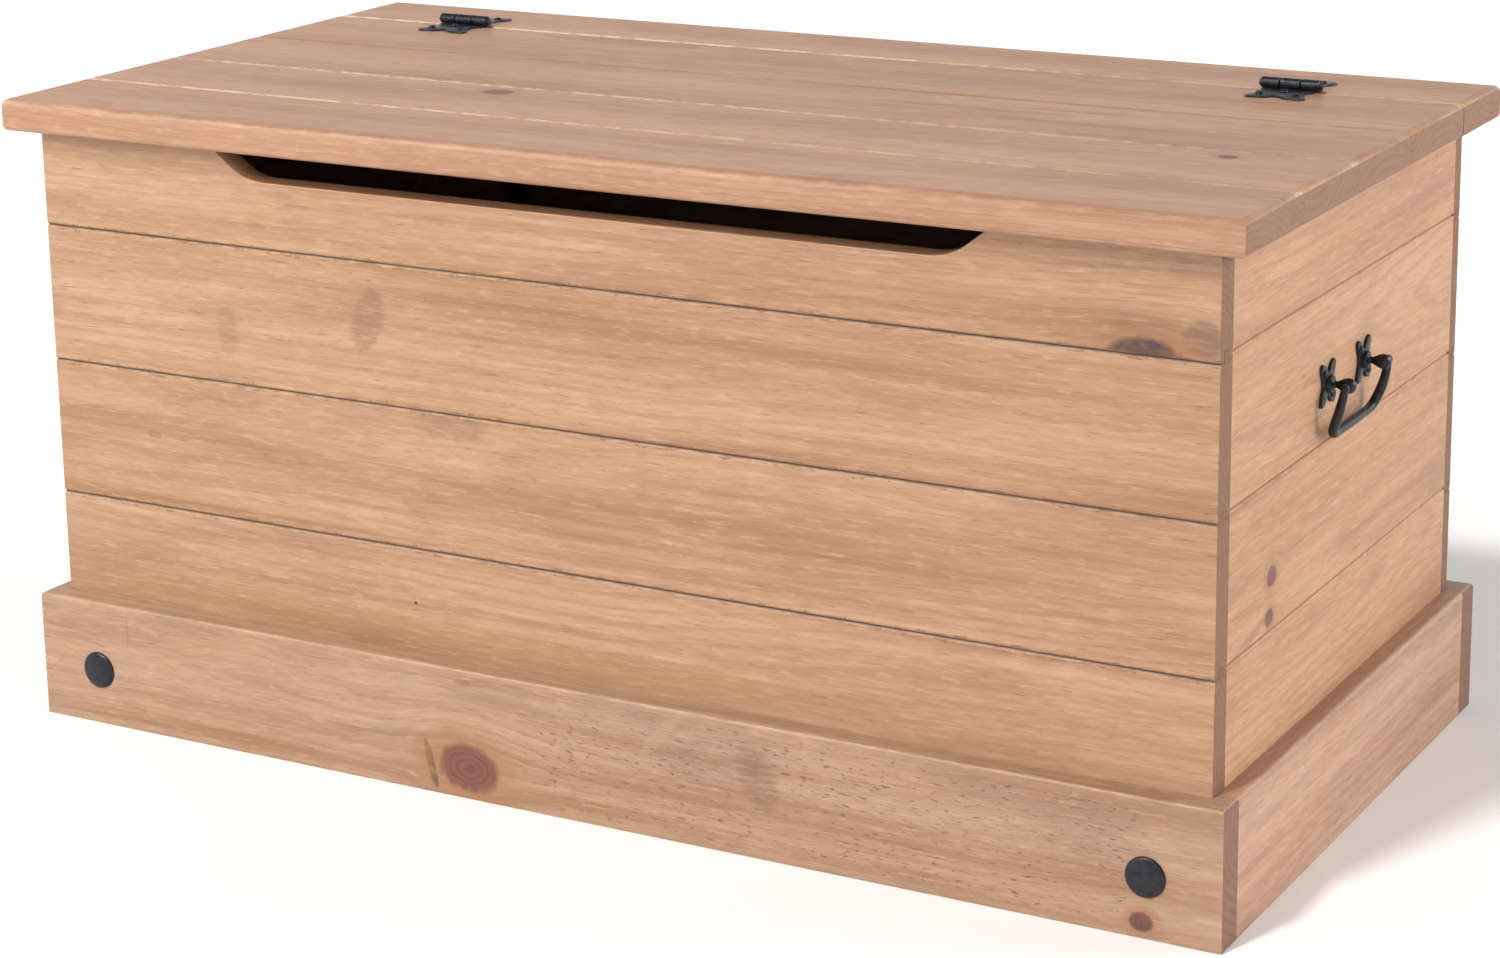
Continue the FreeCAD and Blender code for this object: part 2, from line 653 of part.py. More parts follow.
# Two domed studs on the front of the plinth.
STUD_X = f"({PLINTH_HALF} - Sizes.stud_inset)"
fasteners(
    "plinth_studs",
    [(f"{sign} * {STUD_X}", "Sizes.stud_high") for sign in (-1, 1)],
    ("0", PLINTH_FRONT, "0"), Rotation(Vector(1, 0, 0), 90),
    ("Sizes.stud_head_radius", "Sizes.stud_head_high"),
    ("Sizes.stud_shank_radius", "Sizes.stud_shank_long"), "Sizes.stud_dome",
)
stud_holes = sketch_on(plinth_long_boards["plinth_front"], "XZ_Plane")
circles(
    stud_holes,
    [(f"{PLINTH_HALF} + {sign} * {STUD_X}", "Sizes.stud_high") for sign in (-1, 1)],
    "Sizes.stud_shank_radius + Sizes.hole_gap",
)
pocket(
    plinth_long_boards["plinth_front"], stud_holes,
    "Sizes.stud_shank_long + Sizes.hole_gap",
)

# ------------------------------------------------------------------------------ hinges
# A leaf lies on the wood; its knuckles stand over the joint. Local y = 0 is the barrel
# axis and +y points away from it, over the leaf.
MIDDLE_END = "(Sizes.knuckle_middle / 2)"
OUTER_START = f"({MIDDLE_END} + Sizes.knuckle_gap)"
OUTER_END = "(Sizes.hinge_wide / 2)"
LEAF_START = "(Sizes.barrel_radius + Sizes.barrel_clear)"
LEAF_END = (  # half of the fishtail, from the waist to the notch: shares across and along
    ("0.38", "0.5"), ("0.5", "1"), ("0.12", "0.93"), ("0", "0.8"),
)
LEAF_SCREWS = (
    ("-Sizes.hinge_wide * 0.31", "Sizes.hinge_reach * 0.73"),
    ("0", "Sizes.hinge_reach * 0.4"),
    ("Sizes.hinge_wide * 0.31", "Sizes.hinge_reach * 0.73"),
)


def leaf_outline(tabs):
    """Outline of a leaf with a fishtail end; tabs carry the knuckles out to the axis."""
    points = []
    for start, end in tabs:
        points += [(start, LEAF_START), (start, "0"), (end, "0"), (end, LEAF_START)]
    if len(tabs) == 1:
        points = [(f"-{OUTER_END}", LEAF_START)] + points + [(OUTER_END, LEAF_START)]
    right = [(f"Sizes.hinge_wide * {x}", f"Sizes.hinge_reach * {y}") for x, y in LEAF_END]
    left = [(f"-{x}", y) for x, y in reversed(right[:-1])]
    return points + right + left


def hinge_leaf(name, x, tabs, rotation):
    body = piece(name, x, HINGE_AXIS, "Sizes.box_high", rotation)
    plate = sketch_on(body, "XY_Plane")
    polygon(plate, leaf_outline(tabs))
    pad(body, plate, "Sizes.leaf_thick")
    for start, end in tabs:
        knuckle = sketch_on(body, "YZ_Plane", start)
        circles(knuckle, [("0", "Sizes.barrel_lift")], "Sizes.barrel_radius")
        pad(body, knuckle, f"{end} - {start}")
    bore = sketch_on(body, "YZ_Plane")
    circles(bore, [("0", "Sizes.barrel_lift")], "Sizes.pin_radius + Sizes.pin_fit")
    cut_through(body, bore)
    holes = sketch_on(body, "XY_Plane")
    circles(holes, LEAF_SCREWS, HOLE)
    cut_through(body, holes)


MIDDLE_TAB = ((f"-{MIDDLE_END}", MIDDLE_END),)
OUTER_TABS = ((f"-{OUTER_END}", f"-{OUTER_START}"), (OUTER_START, OUTER_END))
TOWARDS_FRONT = Rotation(Vector(0, 0, 1), 180)

for side, sign in (("left", -1), ("right", 1)):
    hinge_x = f"({sign} * Sizes.hinge_spacing / 2)"
    hinge_leaf(f"hinge_{side}_lid_leaf", hinge_x, MIDDLE_TAB, TOWARDS_FRONT)
    hinge_leaf(f"hinge_{side}_rail_leaf", hinge_x, OUTER_TABS, Rotation())
    pin = piece(f"hinge_{side}_pin", hinge_x, HINGE_AXIS, "Sizes.box_high")
    shaft = sketch_on(pin, "YZ_Plane", f"-{OUTER_END}")
    circles(shaft, [("0", "Sizes.barrel_lift")], "Sizes.pin_radius")
    pad(pin, shaft, "Sizes.hinge_wide")
    for start in (f"-{OUTER_END} - Sizes.pin_head_long", OUTER_END):
        head = sketch_on(pin, "YZ_Plane", start)
        circles(head, [("0", "Sizes.barrel_lift")], "Sizes.pin_head_radius")
        pad(pin, head, "Sizes.pin_head_long")

LEAF_TOP = "(Sizes.box_high + Sizes.leaf_thick)"
SHANK_IN_WOOD = "(Sizes.screw_shank_long - Sizes.leaf_thick + Sizes.hole_gap)"
for name, way, wood, wood_edge in (
    ("hinge_lid_screws", -1, lid_boards[-1], lid_edges[-2]),
    ("hinge_rail_screws", 1, back_rail, RAIL_FRONT),
):
    centres = [
        (f"{sign} * Sizes.hinge_spacing / 2 + {x}", f"{way} * {y} + {HINGE_AXIS}")
        for sign in (-1, 1)
        for x, y in LEAF_SCREWS
    ]
    fasteners(
        name, centres, ("0", "0", LEAF_TOP), Rotation(),
        SCREW_HEAD, SCREW_SHANK, "Sizes.screw_dome",
    )
    wood_thick = LID_BOARD if wood is lid_boards[-1] else "Sizes.lid_thick"
    holes = sketch_on(wood, "XY_Plane", wood_thick)
    circles(holes, [(f"{LID_HALF} + {x}", f"{y} - {wood_edge}") for x, y in centres], HOLE)
    pocket(wood, holes, SHANK_IN_WOOD)

# ----------------------------------------------------------------------------- handles
# Seen from outside, local x runs along the wall and local y up; local z points out.
FACING_RIGHT = Rotation(Vector(0, 1, 0), Vector(0, 0, 1), Vector(1, 0, 0), "ZYX")
FACING_LEFT = Rotation(Vector(0, -1, 0), Vector(0, 0, 1), Vector(-1, 0, 0), "ZYX")
PLATE_QUARTER = (  # one quarter of the forked plate, from its side to its top notch
    ("0.36", "0.1"), ("0.5", "0.45"), ("0.38", "0.5"), ("0.2", "0.44"), ("0", "0.24"),
)
PLATE_SCREWS = (
    ("-Sizes.plate_screw_out", "Sizes.plate_screw_up"),
    ("Sizes.plate_screw_out", "-Sizes.plate_screw_up"),
)


def plate_outline():
    """The whole forked plate, from its quarter."""
    right_top = [(f"Sizes.plate_wide * {x}", f"Sizes.plate_tall * {y}") for x, y in PLATE_QUARTER]
    left_top = [(f"-{x}", y) for x, y in reversed(right_top[:-1])]
    top = right_top + left_top
    return top + [(f"-({x})", f"-({y})") for x, y in top]


def handle_post(name, x, y, rotation):
    """A forked plate with a necked post that ends in a bored ball."""
    body = piece(name, x, y, HANDLE_Z, rotation)
    plate = sketch_on(body, "XY_Plane")
    polygon(plate, plate_outline())
    pad(body, plate, "Sizes.plate_thick")
    stem = sketch_on(body, "XZ_Plane")
    foot_top = "Sizes.plate_thick + Sizes.post_foot_high"
    polygon(
        stem,
        (
            ("0", "0"),
            ("Sizes.post_foot", "0"),
            ("Sizes.post_foot", foot_top),
            ("Sizes.post_neck", f"{foot_top} + Sizes.post_flare"),
            ("Sizes.post_neck", "Sizes.pivot_out"),
            ("0", "Sizes.pivot_out"),
        ),
    )
    turned = body.newObject("PartDesign::Revolution", f"{name}_stem")
    turned.Profile = stem
    turned.ReferenceAxis = (stem, ["V_Axis"])
    turned.Angle = 360
    ball = body.newObject("PartDesign::AdditiveSphere", f"{name}_ball")
    ball.setExpression("Radius", "Sizes.post_ball")
    ball.setExpression("Placement.Base.z", "Sizes.pivot_out")
    bore = sketch_on(body, "YZ_Plane")
    circles(bore, [("0", "Sizes.pivot_out")], "Sizes.pin_radius + Sizes.pin_fit")
    cut_through(body, bore)
    holes = sketch_on(body, "XY_Plane")
    circles(holes, PLATE_SCREWS, HOLE)
    cut_through(body, holes)


def handle_bail(name, x, lean):
    """The swinging bar: two legs, a bottom bar, and a pin in from each leg."""
    body = piece(name, x, HANDLE_Y, HANDLE_Z, Rotation(Vector(0, 1, 0), lean))
    spine = sketch_on(body, "YZ_Plane")
    half, drop, bend = size("Sizes.bail_half"), size("Sizes.bail_drop"), size("Sizes.bail_bend")
    route = (Vector(-half, 0, 0), Vector(-half, bend - drop, 0), Vector(bend - half, -drop, 0))
    over = [Vector(-place.x, place.y, 0) for place in route]
    left_leg = spine.addGeometry(Part.LineSegment(route[0], route[1]), False)
    left_bend = quarter(spine, Vector(bend - half, bend - drop, 0), bend, 180)
    bar = spine.addGeometry(Part.LineSegment(route[2], over[2]), False)
    right_bend = quarter(spine, Vector(half - bend, bend - drop, 0), bend, 270)
    right_leg = spine.addGeometry(Part.LineSegment(over[1], over[0]), False)
    for rule in (
        Sketcher.Constraint("Tangent", left_leg, 2, left_bend, 1),
        Sketcher.Constraint("Tangent", left_bend, 2, bar, 1),
        Sketcher.Constraint("Tangent", bar, 2, right_bend, 1),
        Sketcher.Constraint("Tangent", right_bend, 2, right_leg, 1),
        Sketcher.Constraint("Vertical", left_leg),
        Sketcher.Constraint("Horizontal", bar),
        Sketcher.Constraint("Vertical", right_leg),
        Sketcher.Constraint("Equal", left_bend, right_bend),
    ):
        spine.addConstraint(rule)
    tie(spine, left_leg, 1, "-Sizes.bail_half", "0")
    tie(spine, right_leg, 2, "Sizes.bail_half", "0")
    for kind, element, number, formula in (
        ("Radius", left_bend, bend, "Sizes.bail_bend"),
        ("DistanceY", bar, -drop, "-Sizes.bail_drop"),
    ):
        rule = (
            Sketcher.Constraint(kind, element, number)
            if kind == "Radius"
            else Sketcher.Constraint(kind, -1, 1, element, 1, number)
        )
        index = spine.addConstraint(rule)
        spine.setExpression(f"Constraints[{index}]", formula)
    section = sketch_on(body, "XY_Plane")
    circles(section, [("0", "-Sizes.bail_half")], "Sizes.bail_rod")
    rod = body.newObject("PartDesign::AdditivePipe", f"{name}_rod")
    rod.Profile = section
    rod.Spine = (spine, [])
    for sign in (-1, 1):
        end = body.newObject("PartDesign::AdditiveSphere", f"{name}_end")
        end.setExpression("Radius", "Sizes.bail_end")
        end.setExpression("Placement.Base.y", f"{sign} * Sizes.bail_half")
        reach = "(Sizes.pivot_spacing / 2 - Sizes.bail_pin_into)"
        start = f"-{reach}" if sign > 0 else "Sizes.bail_half"
        axle = sketch_on(body, "XZ_Plane", start)
        circles(axle, [("0", "0")], "Sizes.pin_radius")
        pad(body, axle, f"Sizes.bail_half - {reach}", backwards=True)


for side, sign, facing, boards, skin in (
    ("left", -1, FACING_LEFT, left_boards, "0"),
    ("right", 1, FACING_RIGHT, right_boards, "Sizes.board_thick"),
):
    wall_x = f"({sign} * {WALL_HALF})"
    for depth, away in (("front", -1), ("back", 1)):
        post_y = f"({HANDLE_Y} + {away} * Sizes.pivot_spacing / 2)"
        handle_post(f"handle_{side}_post_{depth}", wall_x, post_y, facing)
    handle_bail(
        f"handle_{side}_bail",
        f"({sign} * ({WALL_HALF} + Sizes.pivot_out))",
        sign * size("Sizes.bail_lean"),
    )
    centres = [
        (f"{away} * Sizes.pivot_spacing / 2 + {x}", z)
        for away in (-1, 1)
        for x, z in PLATE_SCREWS
    ]
    fasteners(
        f"handle_{side}_screws", centres,
        (f"({wall_x} + {sign} * Sizes.plate_thick)", HANDLE_Y, HANDLE_Z), facing,
        SCREW_HEAD, SCREW_SHANK, "Sizes.screw_dome",
    )
    held_by = boards[WALL_BOARDS - 2]
    holes = sketch_on(held_by, "YZ_Plane", skin)
    low = side_seams[WALL_BOARDS - 2]
    circles(
        holes,
        [
            (f"{HANDLE_Y} + {sign} * ({along}) - {INNER_FRONT}", f"{HANDLE_Z} + {z} - {low}")
            for along, z in centres
        ],
        HOLE,
    )
    pocket(
        held_by, holes,
        "Sizes.screw_shank_long - Sizes.plate_thick + Sizes.hole_gap", backwards=sign < 0,
    )

# ------------------------------------------------------------------- check, then export
doc.recompute()
for thing in doc.Objects:
    if "Invalid" in thing.State or "Error" in thing.State:
        raise RuntimeError(f"{thing.Name} failed: {thing.State}")
    if thing.TypeId == "PartDesign::Pocket":
        if thing.Shape.Volume > thing.BaseFeature.Shape.Volume - 1e-3:
            raise RuntimeError(f"{thing.Name} cuts nothing")
os.makedirs("parts", exist_ok=True)
for body in bodies:
    shape = body.Shape
    if shape.isNull() or not shape.isValid():
        raise RuntimeError(f"{body.Label} has no valid shape")
for body in bodies:
    body.Shape.exportStep(f"parts/{body.Label}.step")
print(len(bodies), "pieces written")
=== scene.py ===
import json
import math
import random

import bmesh
import bpy
from mathutils import Matrix, Vector

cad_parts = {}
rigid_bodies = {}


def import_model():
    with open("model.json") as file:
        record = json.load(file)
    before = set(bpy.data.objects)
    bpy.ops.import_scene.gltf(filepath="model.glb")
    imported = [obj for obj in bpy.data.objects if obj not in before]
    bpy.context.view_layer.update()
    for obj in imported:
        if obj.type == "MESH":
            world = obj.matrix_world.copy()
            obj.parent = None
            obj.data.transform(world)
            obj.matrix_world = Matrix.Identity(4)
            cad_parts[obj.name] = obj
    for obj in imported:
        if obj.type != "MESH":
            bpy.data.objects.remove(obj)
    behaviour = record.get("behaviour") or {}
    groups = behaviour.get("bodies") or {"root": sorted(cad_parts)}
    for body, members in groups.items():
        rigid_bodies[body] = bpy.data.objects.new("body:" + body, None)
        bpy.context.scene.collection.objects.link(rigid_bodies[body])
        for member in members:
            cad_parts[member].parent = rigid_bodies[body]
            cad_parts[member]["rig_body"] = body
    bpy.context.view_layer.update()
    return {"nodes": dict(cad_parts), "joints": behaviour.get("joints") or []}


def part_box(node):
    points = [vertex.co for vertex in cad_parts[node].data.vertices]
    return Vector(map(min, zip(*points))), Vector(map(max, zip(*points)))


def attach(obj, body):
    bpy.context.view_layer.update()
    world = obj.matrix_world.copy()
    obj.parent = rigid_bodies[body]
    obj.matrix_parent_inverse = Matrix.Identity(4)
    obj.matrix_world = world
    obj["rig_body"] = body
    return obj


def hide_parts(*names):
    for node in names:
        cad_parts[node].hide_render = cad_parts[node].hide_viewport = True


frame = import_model()
NODES = frame["nodes"]
MM = 0.001

# ------------------------------------------------------------------ camera and light
EYE = Vector((1.0872, -1.9254, 0.8306))
TURN, DIP, ROLL = (math.radians(a) for a in (-29.41, 13.81, -0.879))
IMAGE_WIDE, FOCAL, SENSOR = 1500, 3436.3, 36
SHIFT_DOWN = 179 / IMAGE_WIDE


def look():
    """The camera, in front of the box and towards its right end, looking a little down."""
    data = bpy.data.cameras.new("camera")
    data.sensor_width = SENSOR
    data.lens = FOCAL * SENSOR / IMAGE_WIDE
    data.shift_y = -SHIFT_DOWN
    data.clip_start, data.clip_end = 0.05, 100
    camera = bpy.data.objects.new("camera", data)
    ahead = Vector((math.sin(TURN) * math.cos(DIP), math.cos(TURN) * math.cos(DIP), -math.sin(DIP)))
    level = Vector((math.cos(TURN), -math.sin(TURN), 0))
    upward = level.cross(ahead)
    right = level * math.cos(ROLL) + upward * math.sin(ROLL)
    top = upward * math.cos(ROLL) - level * math.sin(ROLL)
    camera.matrix_world = Matrix.Translation(EYE) @ Matrix((right, top, -ahead)).transposed().to_4x4()
    bpy.context.scene.collection.objects.link(camera)
    bpy.context.scene.camera = camera


def sun(name, strength, spread, azimuth, height, colour=(1, 1, 1)):
    """Light from an azimuth (0 is the front, 90 the right end) and a height, in degrees."""
    data = bpy.data.lights.new(name, "SUN")
    data.energy, data.angle, data.color = strength * math.pi, math.radians(spread), colour
    holder = bpy.data.objects.new(name, data)
    a, h = math.radians(azimuth), math.radians(height)
    source = Vector((math.sin(a) * math.cos(h), -math.cos(a) * math.cos(h), math.sin(h)))
    holder.rotation_euler = source.to_track_quat("Z", "Y").to_euler()
    bpy.context.scene.collection.objects.link(holder)


def lamp(name, place, target, side, watts, colour=(1, 1, 1)):
    """A square soft box at a place, turned to a target."""
    data = bpy.data.lights.new(name, "AREA")
    data.shape, data.size, data.energy, data.color = "SQUARE", side, watts, colour
    holder = bpy.data.objects.new(name, data)
    holder.matrix_world = turn_to(Vector(place) - Vector(target), place)
    bpy.context.scene.collection.objects.link(holder)


def surroundings():
    """A white studio: bright round the sides, dimmer overhead."""
    world = bpy.data.worlds.new("studio")
    bpy.context.scene.world = world
    world.use_nodes = True
    tree = world.node_tree
    place = tree.nodes.new("ShaderNodeTexCoord")
    split = tree.nodes.new("ShaderNodeSeparateXYZ")
    ramp = tree.nodes.new("ShaderNodeValToRGB")
    tree.links.new(place.outputs["Generated"], split.inputs[0])
    tree.links.new(split.outputs["Z"], ramp.inputs[0])
    tree.links.new(ramp.outputs[0], tree.nodes["Background"].inputs["Color"])
    stops = ramp.color_ramp.elements
    stops[0].position, stops[0].color = 0.25, (1, 1, 1, 1)
    stops[1].position, stops[1].color = 0.75, (0.12, 0.12, 0.125, 1)
    tree.nodes["Background"].inputs["Strength"].default_value = 1.04


# ---------------------------------------------------------------------- shader making
class Finish:
    """A material in the making, with short names for the shader nodes it uses."""

    def __init__(self, name):
        self.material = bpy.data.materials.new(name)
        self.material.use_nodes = True
        self.tree = self.material.node_tree
        self.shader = self.tree.nodes["Principled BSDF"]
        self.place = self.add("ShaderNodeTexCoord")

    def add(self, kind, **settings):
        node = self.tree.nodes.new(kind)
        for key, value in settings.items():
            setattr(node, key, value)
        return node

    def feed(self, value, socket):
        if isinstance(value, bpy.types.NodeSocket):
            self.tree.links.new(value, socket)
        elif isinstance(value, tuple) and len(value) == 3 and socket.type == "RGBA":
            socket.default_value = (*value, 1)
        else:
            socket.default_value = value

    def math(self, operation, *values, clamp=False):
        node = self.add("ShaderNodeMath", operation=operation, use_clamp=clamp)
        for value, socket in zip(values, node.inputs):
            self.feed(value, socket)
        return node.outputs[0]

    def plus(self, a, b):
        return self.math("ADD", a, b)

    def times(self, a, b):
        return self.math("MULTIPLY", a, b)

    def split(self, vector):
        node = self.add("ShaderNodeSeparateXYZ")
        self.feed(vector, node.inputs[0])
        return list(node.outputs)

    def join(self, x, y, z):
        node = self.add("ShaderNodeCombineXYZ")
        for value, socket in zip((x, y, z), node.inputs):
            self.feed(value, socket)
        return node.outputs[0]

    def noise(self, vector, stretch, detail=2, rough=0.5):
        scaled = self.add("ShaderNodeVectorMath", operation="MULTIPLY")
        self.feed(vector, scaled.inputs[0])
        scaled.inputs[1].default_value = stretch
        node = self.add("ShaderNodeTexNoise")
        self.feed(scaled.outputs[0], node.inputs["Vector"])
        node.inputs["Scale"].default_value = 1
        node.inputs["Detail"].default_value = detail
        node.inputs["Roughness"].default_value = rough
        return node.outputs["Fac"]

    def between(self, value, low, high, start=0.0, end=1.0):
        """start below low, end above high, with a smooth step between them."""
        node = self.add("ShaderNodeMapRange", interpolation_type="SMOOTHSTEP")
        for item, socket in zip((value, low, high, start, end), node.inputs):
            self.feed(item, socket)
        return node.outputs[0]

    def ramp(self, value, *stops):
        node = self.add("ShaderNodeValToRGB")
        self.feed(value, node.inputs[0])
        elements = node.color_ramp.elements
        while len(elements) < len(stops):
            elements.new(0.5)
        for element, (position, colour) in zip(elements, stops):
            element.position = position
            grey = isinstance(colour, (int, float))
            element.color = (colour,) * 3 + (1,) if grey else (*colour, 1)
        return node.outputs[0]

    def blend(self, share, a, b, how="MIX"):
        node = self.add("ShaderNodeMix", data_type="RGBA", blend_type=how)
        for value, socket in zip((share, a, b), (node.inputs[0], node.inputs[6], node.inputs[7])):
            self.feed(value, socket)
        return node.outputs[2]

    def oval(self, flat, centre, radii, tilt=0.0):
        """Distance from an oval's centre in its own radii, so 1 is its rim."""
        node = self.add("ShaderNodeMapping", vector_type="TEXTURE")
        self.feed(flat, node.inputs["Vector"])
        node.inputs["Location"].default_value = (*centre, 0)
        node.inputs["Rotation"].default_value = (0, 0, math.radians(tilt))
        node.inputs["Scale"].default_value = (*radii, 1)
        length = self.add("ShaderNodeVectorMath", operation="LENGTH")
        self.feed(node.outputs[0], length.inputs[0])
        return length.outputs["Value"]

    def bump(self, height, depth):
        node = self.add("ShaderNodeBump")
        node.inputs["Strength"].default_value = 1
        node.inputs["Distance"].default_value = depth
        self.feed(height, node.inputs["Height"])
        self.feed(node.outputs[0], self.shader.inputs["Normal"])


PINE = (0.44, 0.262, 0.158)
PALE_PINE = (0.52, 0.335, 0.215)
DEEP_PINE = (0.325, 0.170, 0.085)
END_PINE = (0.235, 0.140, 0.092)
LATE_WOOD = (0.30, 0.155, 0.085)
PATCH = (0.305, 0.178, 0.112)
# Colours painted in the bottom of each joint's V, partly dirt and partly painted shade: brown by default,
# honey on the end walls.
JOINT_DIRT_AND_SHADE_BROWN, JOINT_DIRT_AND_SHADE_HONEY = (0.125, 0.064, 0.037), (0.40, 0.19, 0.085)
LID_END = (1.30, 1.26, 1.16)
WALL_END = (1.03, 0.90, 0.78)
PLINTH_END = (1.04, 0.89, 0.86)
END_PALE, END_LATE = (0.30, 0.19, 0.135), (0.135, 0.078, 0.062)
KNOT_RED, KNOT_RED_PALE = (0.155, 0.060, 0.045), (0.27, 0.115, 0.075)
KNOT_DULL, KNOT_DULL_DARK = (0.15, 0.082, 0.056), (0.072, 0.042, 0.036)
KNOT_RIM = (0.20, 0.095, 0.045)
BARK = (0.055, 0.038, 0.034)
TICK_BROWN = (0.170, 0.080, 0.052)
TORN_BROWN = (0.165, 0.085, 0.050)
# Pale of rubbed edges, also a painted highlight on facets that face the key light.
RUBBED_AND_HIGHLIT_PALE = (0.70, 0.50, 0.35)


def tinted(colour, tone):
    return tuple(c * t for c, t in zip(colour, tone))


def pine(node, lay, edges, seed, tone=(1, 1, 1), knots=(), smudges=(), ticks=None, worn=(1, 1),
         joined=(False, False), chips=1.0, dirt=0.5, dirt_tone=JOINT_DIRT_AND_SHADE_BROWN, end_tone=(1, 1, 1)):
    """Waxed pine for one board. lay names the axes along, across and through it.

    edges are the two places across the board where it ends, joined says which of them meet
    another board, and the wear pair says how pale each is rubbed: partly real wear, partly a
    painted highlight on facets that face the key light. chips is how torn the joints are, and
    the dirt figure how dark the bottom of each joint's V is painted: partly dirt, partly painted
    shade. Each knot is (along, across, radius along, radius across, tilt, redness).
    Each smudge is (along, across, radius along, radius across, tilt, share, colour).
    """
    chance = random.Random(seed)
    f = Finish(f"pine_{node}")
    xyz = dict(zip("xyz", f.split(f.place.outputs["Object"])))
    facing = dict(zip("xyz", f.split(f.place.outputs["Normal"])))
    along, across, through = (xyz[a] for a in lay)
    flat = f.join(along, across, 0.0)

    # Fibres part round each knot.
    bent = across
    knot_rims = []
    for u, v, long, wide, tilt, red in knots:
        rim = f.oval(flat, (u, v), (long, wide), tilt)
        pull = f.math("EXPONENT", f.times(f.math("POWER", rim, 2), -0.22))
        bent = f.math("SUBTRACT", bent, f.times(f.times(f.math("SUBTRACT", across, v), pull), 0.72))
        knot_rims.append((rim, red))

    shift = Vector(chance.uniform(-50, 50) for _ in range(3))
    start = f.join(f.plus(along, shift.x), f.plus(bent, shift.y), f.plus(through, shift.z))
    sway = f.math("SUBTRACT", f.noise(start, (2.6, 5, 5), 2), 0.5)
    drift = f.math("SUBTRACT", f.noise(start, (1.3, 3, 3), 1), 0.5)
    centre_across = sum(edges) / 2 + chance.uniform(-0.035, 0.035)
    low, high = (c["xyz".index(lay[2])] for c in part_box(node))
    heart = (low + high) / 2 + chance.choice((-1, 1)) * chance.uniform(0.035, 0.09)
    off_across = f.plus(f.math("SUBTRACT", bent, centre_across), f.times(sway, 0.030))
    off_through = f.plus(f.math("SUBTRACT", through, heart), f.times(drift, 0.075))
    radius = f.math("SQRT", f.plus(f.math("POWER", off_across, 2), f.math("POWER", off_through, 2)))
    fine = f.noise(start, (5, 620, 620), 3, 0.6)
    rings = f.math("FRACT", f.plus(f.times(radius, chance.uniform(150, 210)), f.times(fine, 0.55)))
    late = f.ramp(rings, (0.0, 0.12), (0.5, 0.12), (0.86, 1.0), (1.0, 0.1))

    streaks = f.noise(start, (2.4, 95, 95), 4, 0.62)
    cloud = f.noise(start, (5.5, 17, 17), 2, 0.5)
    wide_bands = f.noise(start, (1.1, 21, 21), 2, 0.5)
    pores = f.noise(start, (62, 1150, 1150), 2, 0.6)

    mix = f.plus(f.times(streaks, 0.55), f.plus(f.times(cloud, 0.25), f.times(wide_bands, 0.45)))
    colour = f.ramp(
        mix,
        (0.47, tinted(DEEP_PINE, tone)), (0.60, tinted(PINE, tone)), (0.75, tinted(PALE_PINE, tone)),
    )
    patches = f.noise(start, (6.5, 24, 24), 4, 0.58)
    colour = f.blend(f.between(patches, 0.50, 0.68, 0, 0.42), colour, tinted(PATCH, tone))
    ring_share = f.times(late, f.between(cloud, 0.35, 0.7, 0.14, 0.44))
    colour = f.blend(ring_share, colour, tinted(LATE_WOOD, tone))
    colour = f.blend(f.between(fine, 0.55, 0.75, 0, 0.20), colour, tinted(DEEP_PINE, tone))
    colour = f.blend(f.between(fine, 0.28, 0.45, 0.20, 0), colour, tinted(PALE_PINE, tone))
    pits = f.between(pores, 0.64, 0.74)
    colour = f.blend(f.times(pits, 0.55), colour, tinted(LATE_WOOD, (0.72, 0.64, 0.62)))
    fibres = f.noise(start, (58, 430, 430), 3, 0.62)
    colour = f.blend(f.between(fibres, 0.50, 0.70, 0, 0.34), colour, tinted(LATE_WOOD, (1.0, 0.95, 0.95)))
    colour = f.blend(f.between(fibres, 0.30, 0.48, 0.34, 0), colour, tinted(PALE_PINE, (1.12, 1.12, 1.12)))
    dashes = f.between(f.noise(start, (34, 560, 560), 1, 0.5), 0.68, 0.76)
    colour = f.blend(f.times(dashes, 0.32), colour, tinted(LATE_WOOD, (0.85, 0.75, 0.7)))

    if ticks:
        (u0, u1, v0, v1), amount = ticks
        inside = f.times(
            f.times(f.between(along, u0, u0 + 0.05), f.between(along, u1 - 0.03, u1, 1, 0)),
            f.times(f.between(across, v0, v0 + 0.008), f.between(across, v1 - 0.008, v1, 1, 0)),
        )
        spots = f.between(f.noise(start, (150, 520, 520), 1, 0.5), 0.60, 0.72)
        clumps = f.between(f.noise(start, (14, 26, 26), 2), 0.30, 0.62, 0.35, 1)
        share = f.times(f.times(inside, spots), f.times(clumps, amount))
        colour = f.blend(share, colour, TICK_BROWN)

    wobble = f.times(f.math("SUBTRACT", f.noise(start, (160, 160, 160), 2), 0.5), 0.35)
    for u, v, long, wide, tilt, share, tint in smudges:
        reach = f.plus(f.oval(flat, (u, v), (long, wide), tilt), wobble)
        soft = f.times(f.between(reach, 0.70, 1.10, 1, 0), f.between(fibres, 0.35, 0.6, 0.55, 1))
        colour = f.blend(f.times(soft, share), colour, tint)

    for rim, red in knot_rims:
        edge = f.plus(rim, wobble)
        turns = f.math("SINE", f.times(edge, 26.0))
        inner = f.blend(f.times(f.plus(turns, 1.0), 0.16), KNOT_RED, KNOT_RED_PALE)
        dull = f.blend(f.between(fibres, 0.35, 0.62), KNOT_DULL, KNOT_DULL_DARK)
        core = f.blend(red, dull, inner)
        colour = f.blend(f.between(edge, 1.0, 2.3, 0.55, 0.0), colour, tinted(KNOT_RIM, (1.6, 1.5, 1.4)))
        colour = f.blend(f.between(edge, 0.86, 1.10, 1, 0), colour, core)
        collar = f.times(f.between(edge, 0.80, 0.98), f.between(edge, 1.0, 1.16, 1, 0))
        colour = f.blend(f.times(collar, 0.55), colour, KNOT_RIM)
        eye = f.between(edge, 0.05, 0.22, 0.5, 0)
        colour = f.blend(eye, colour, BARK)
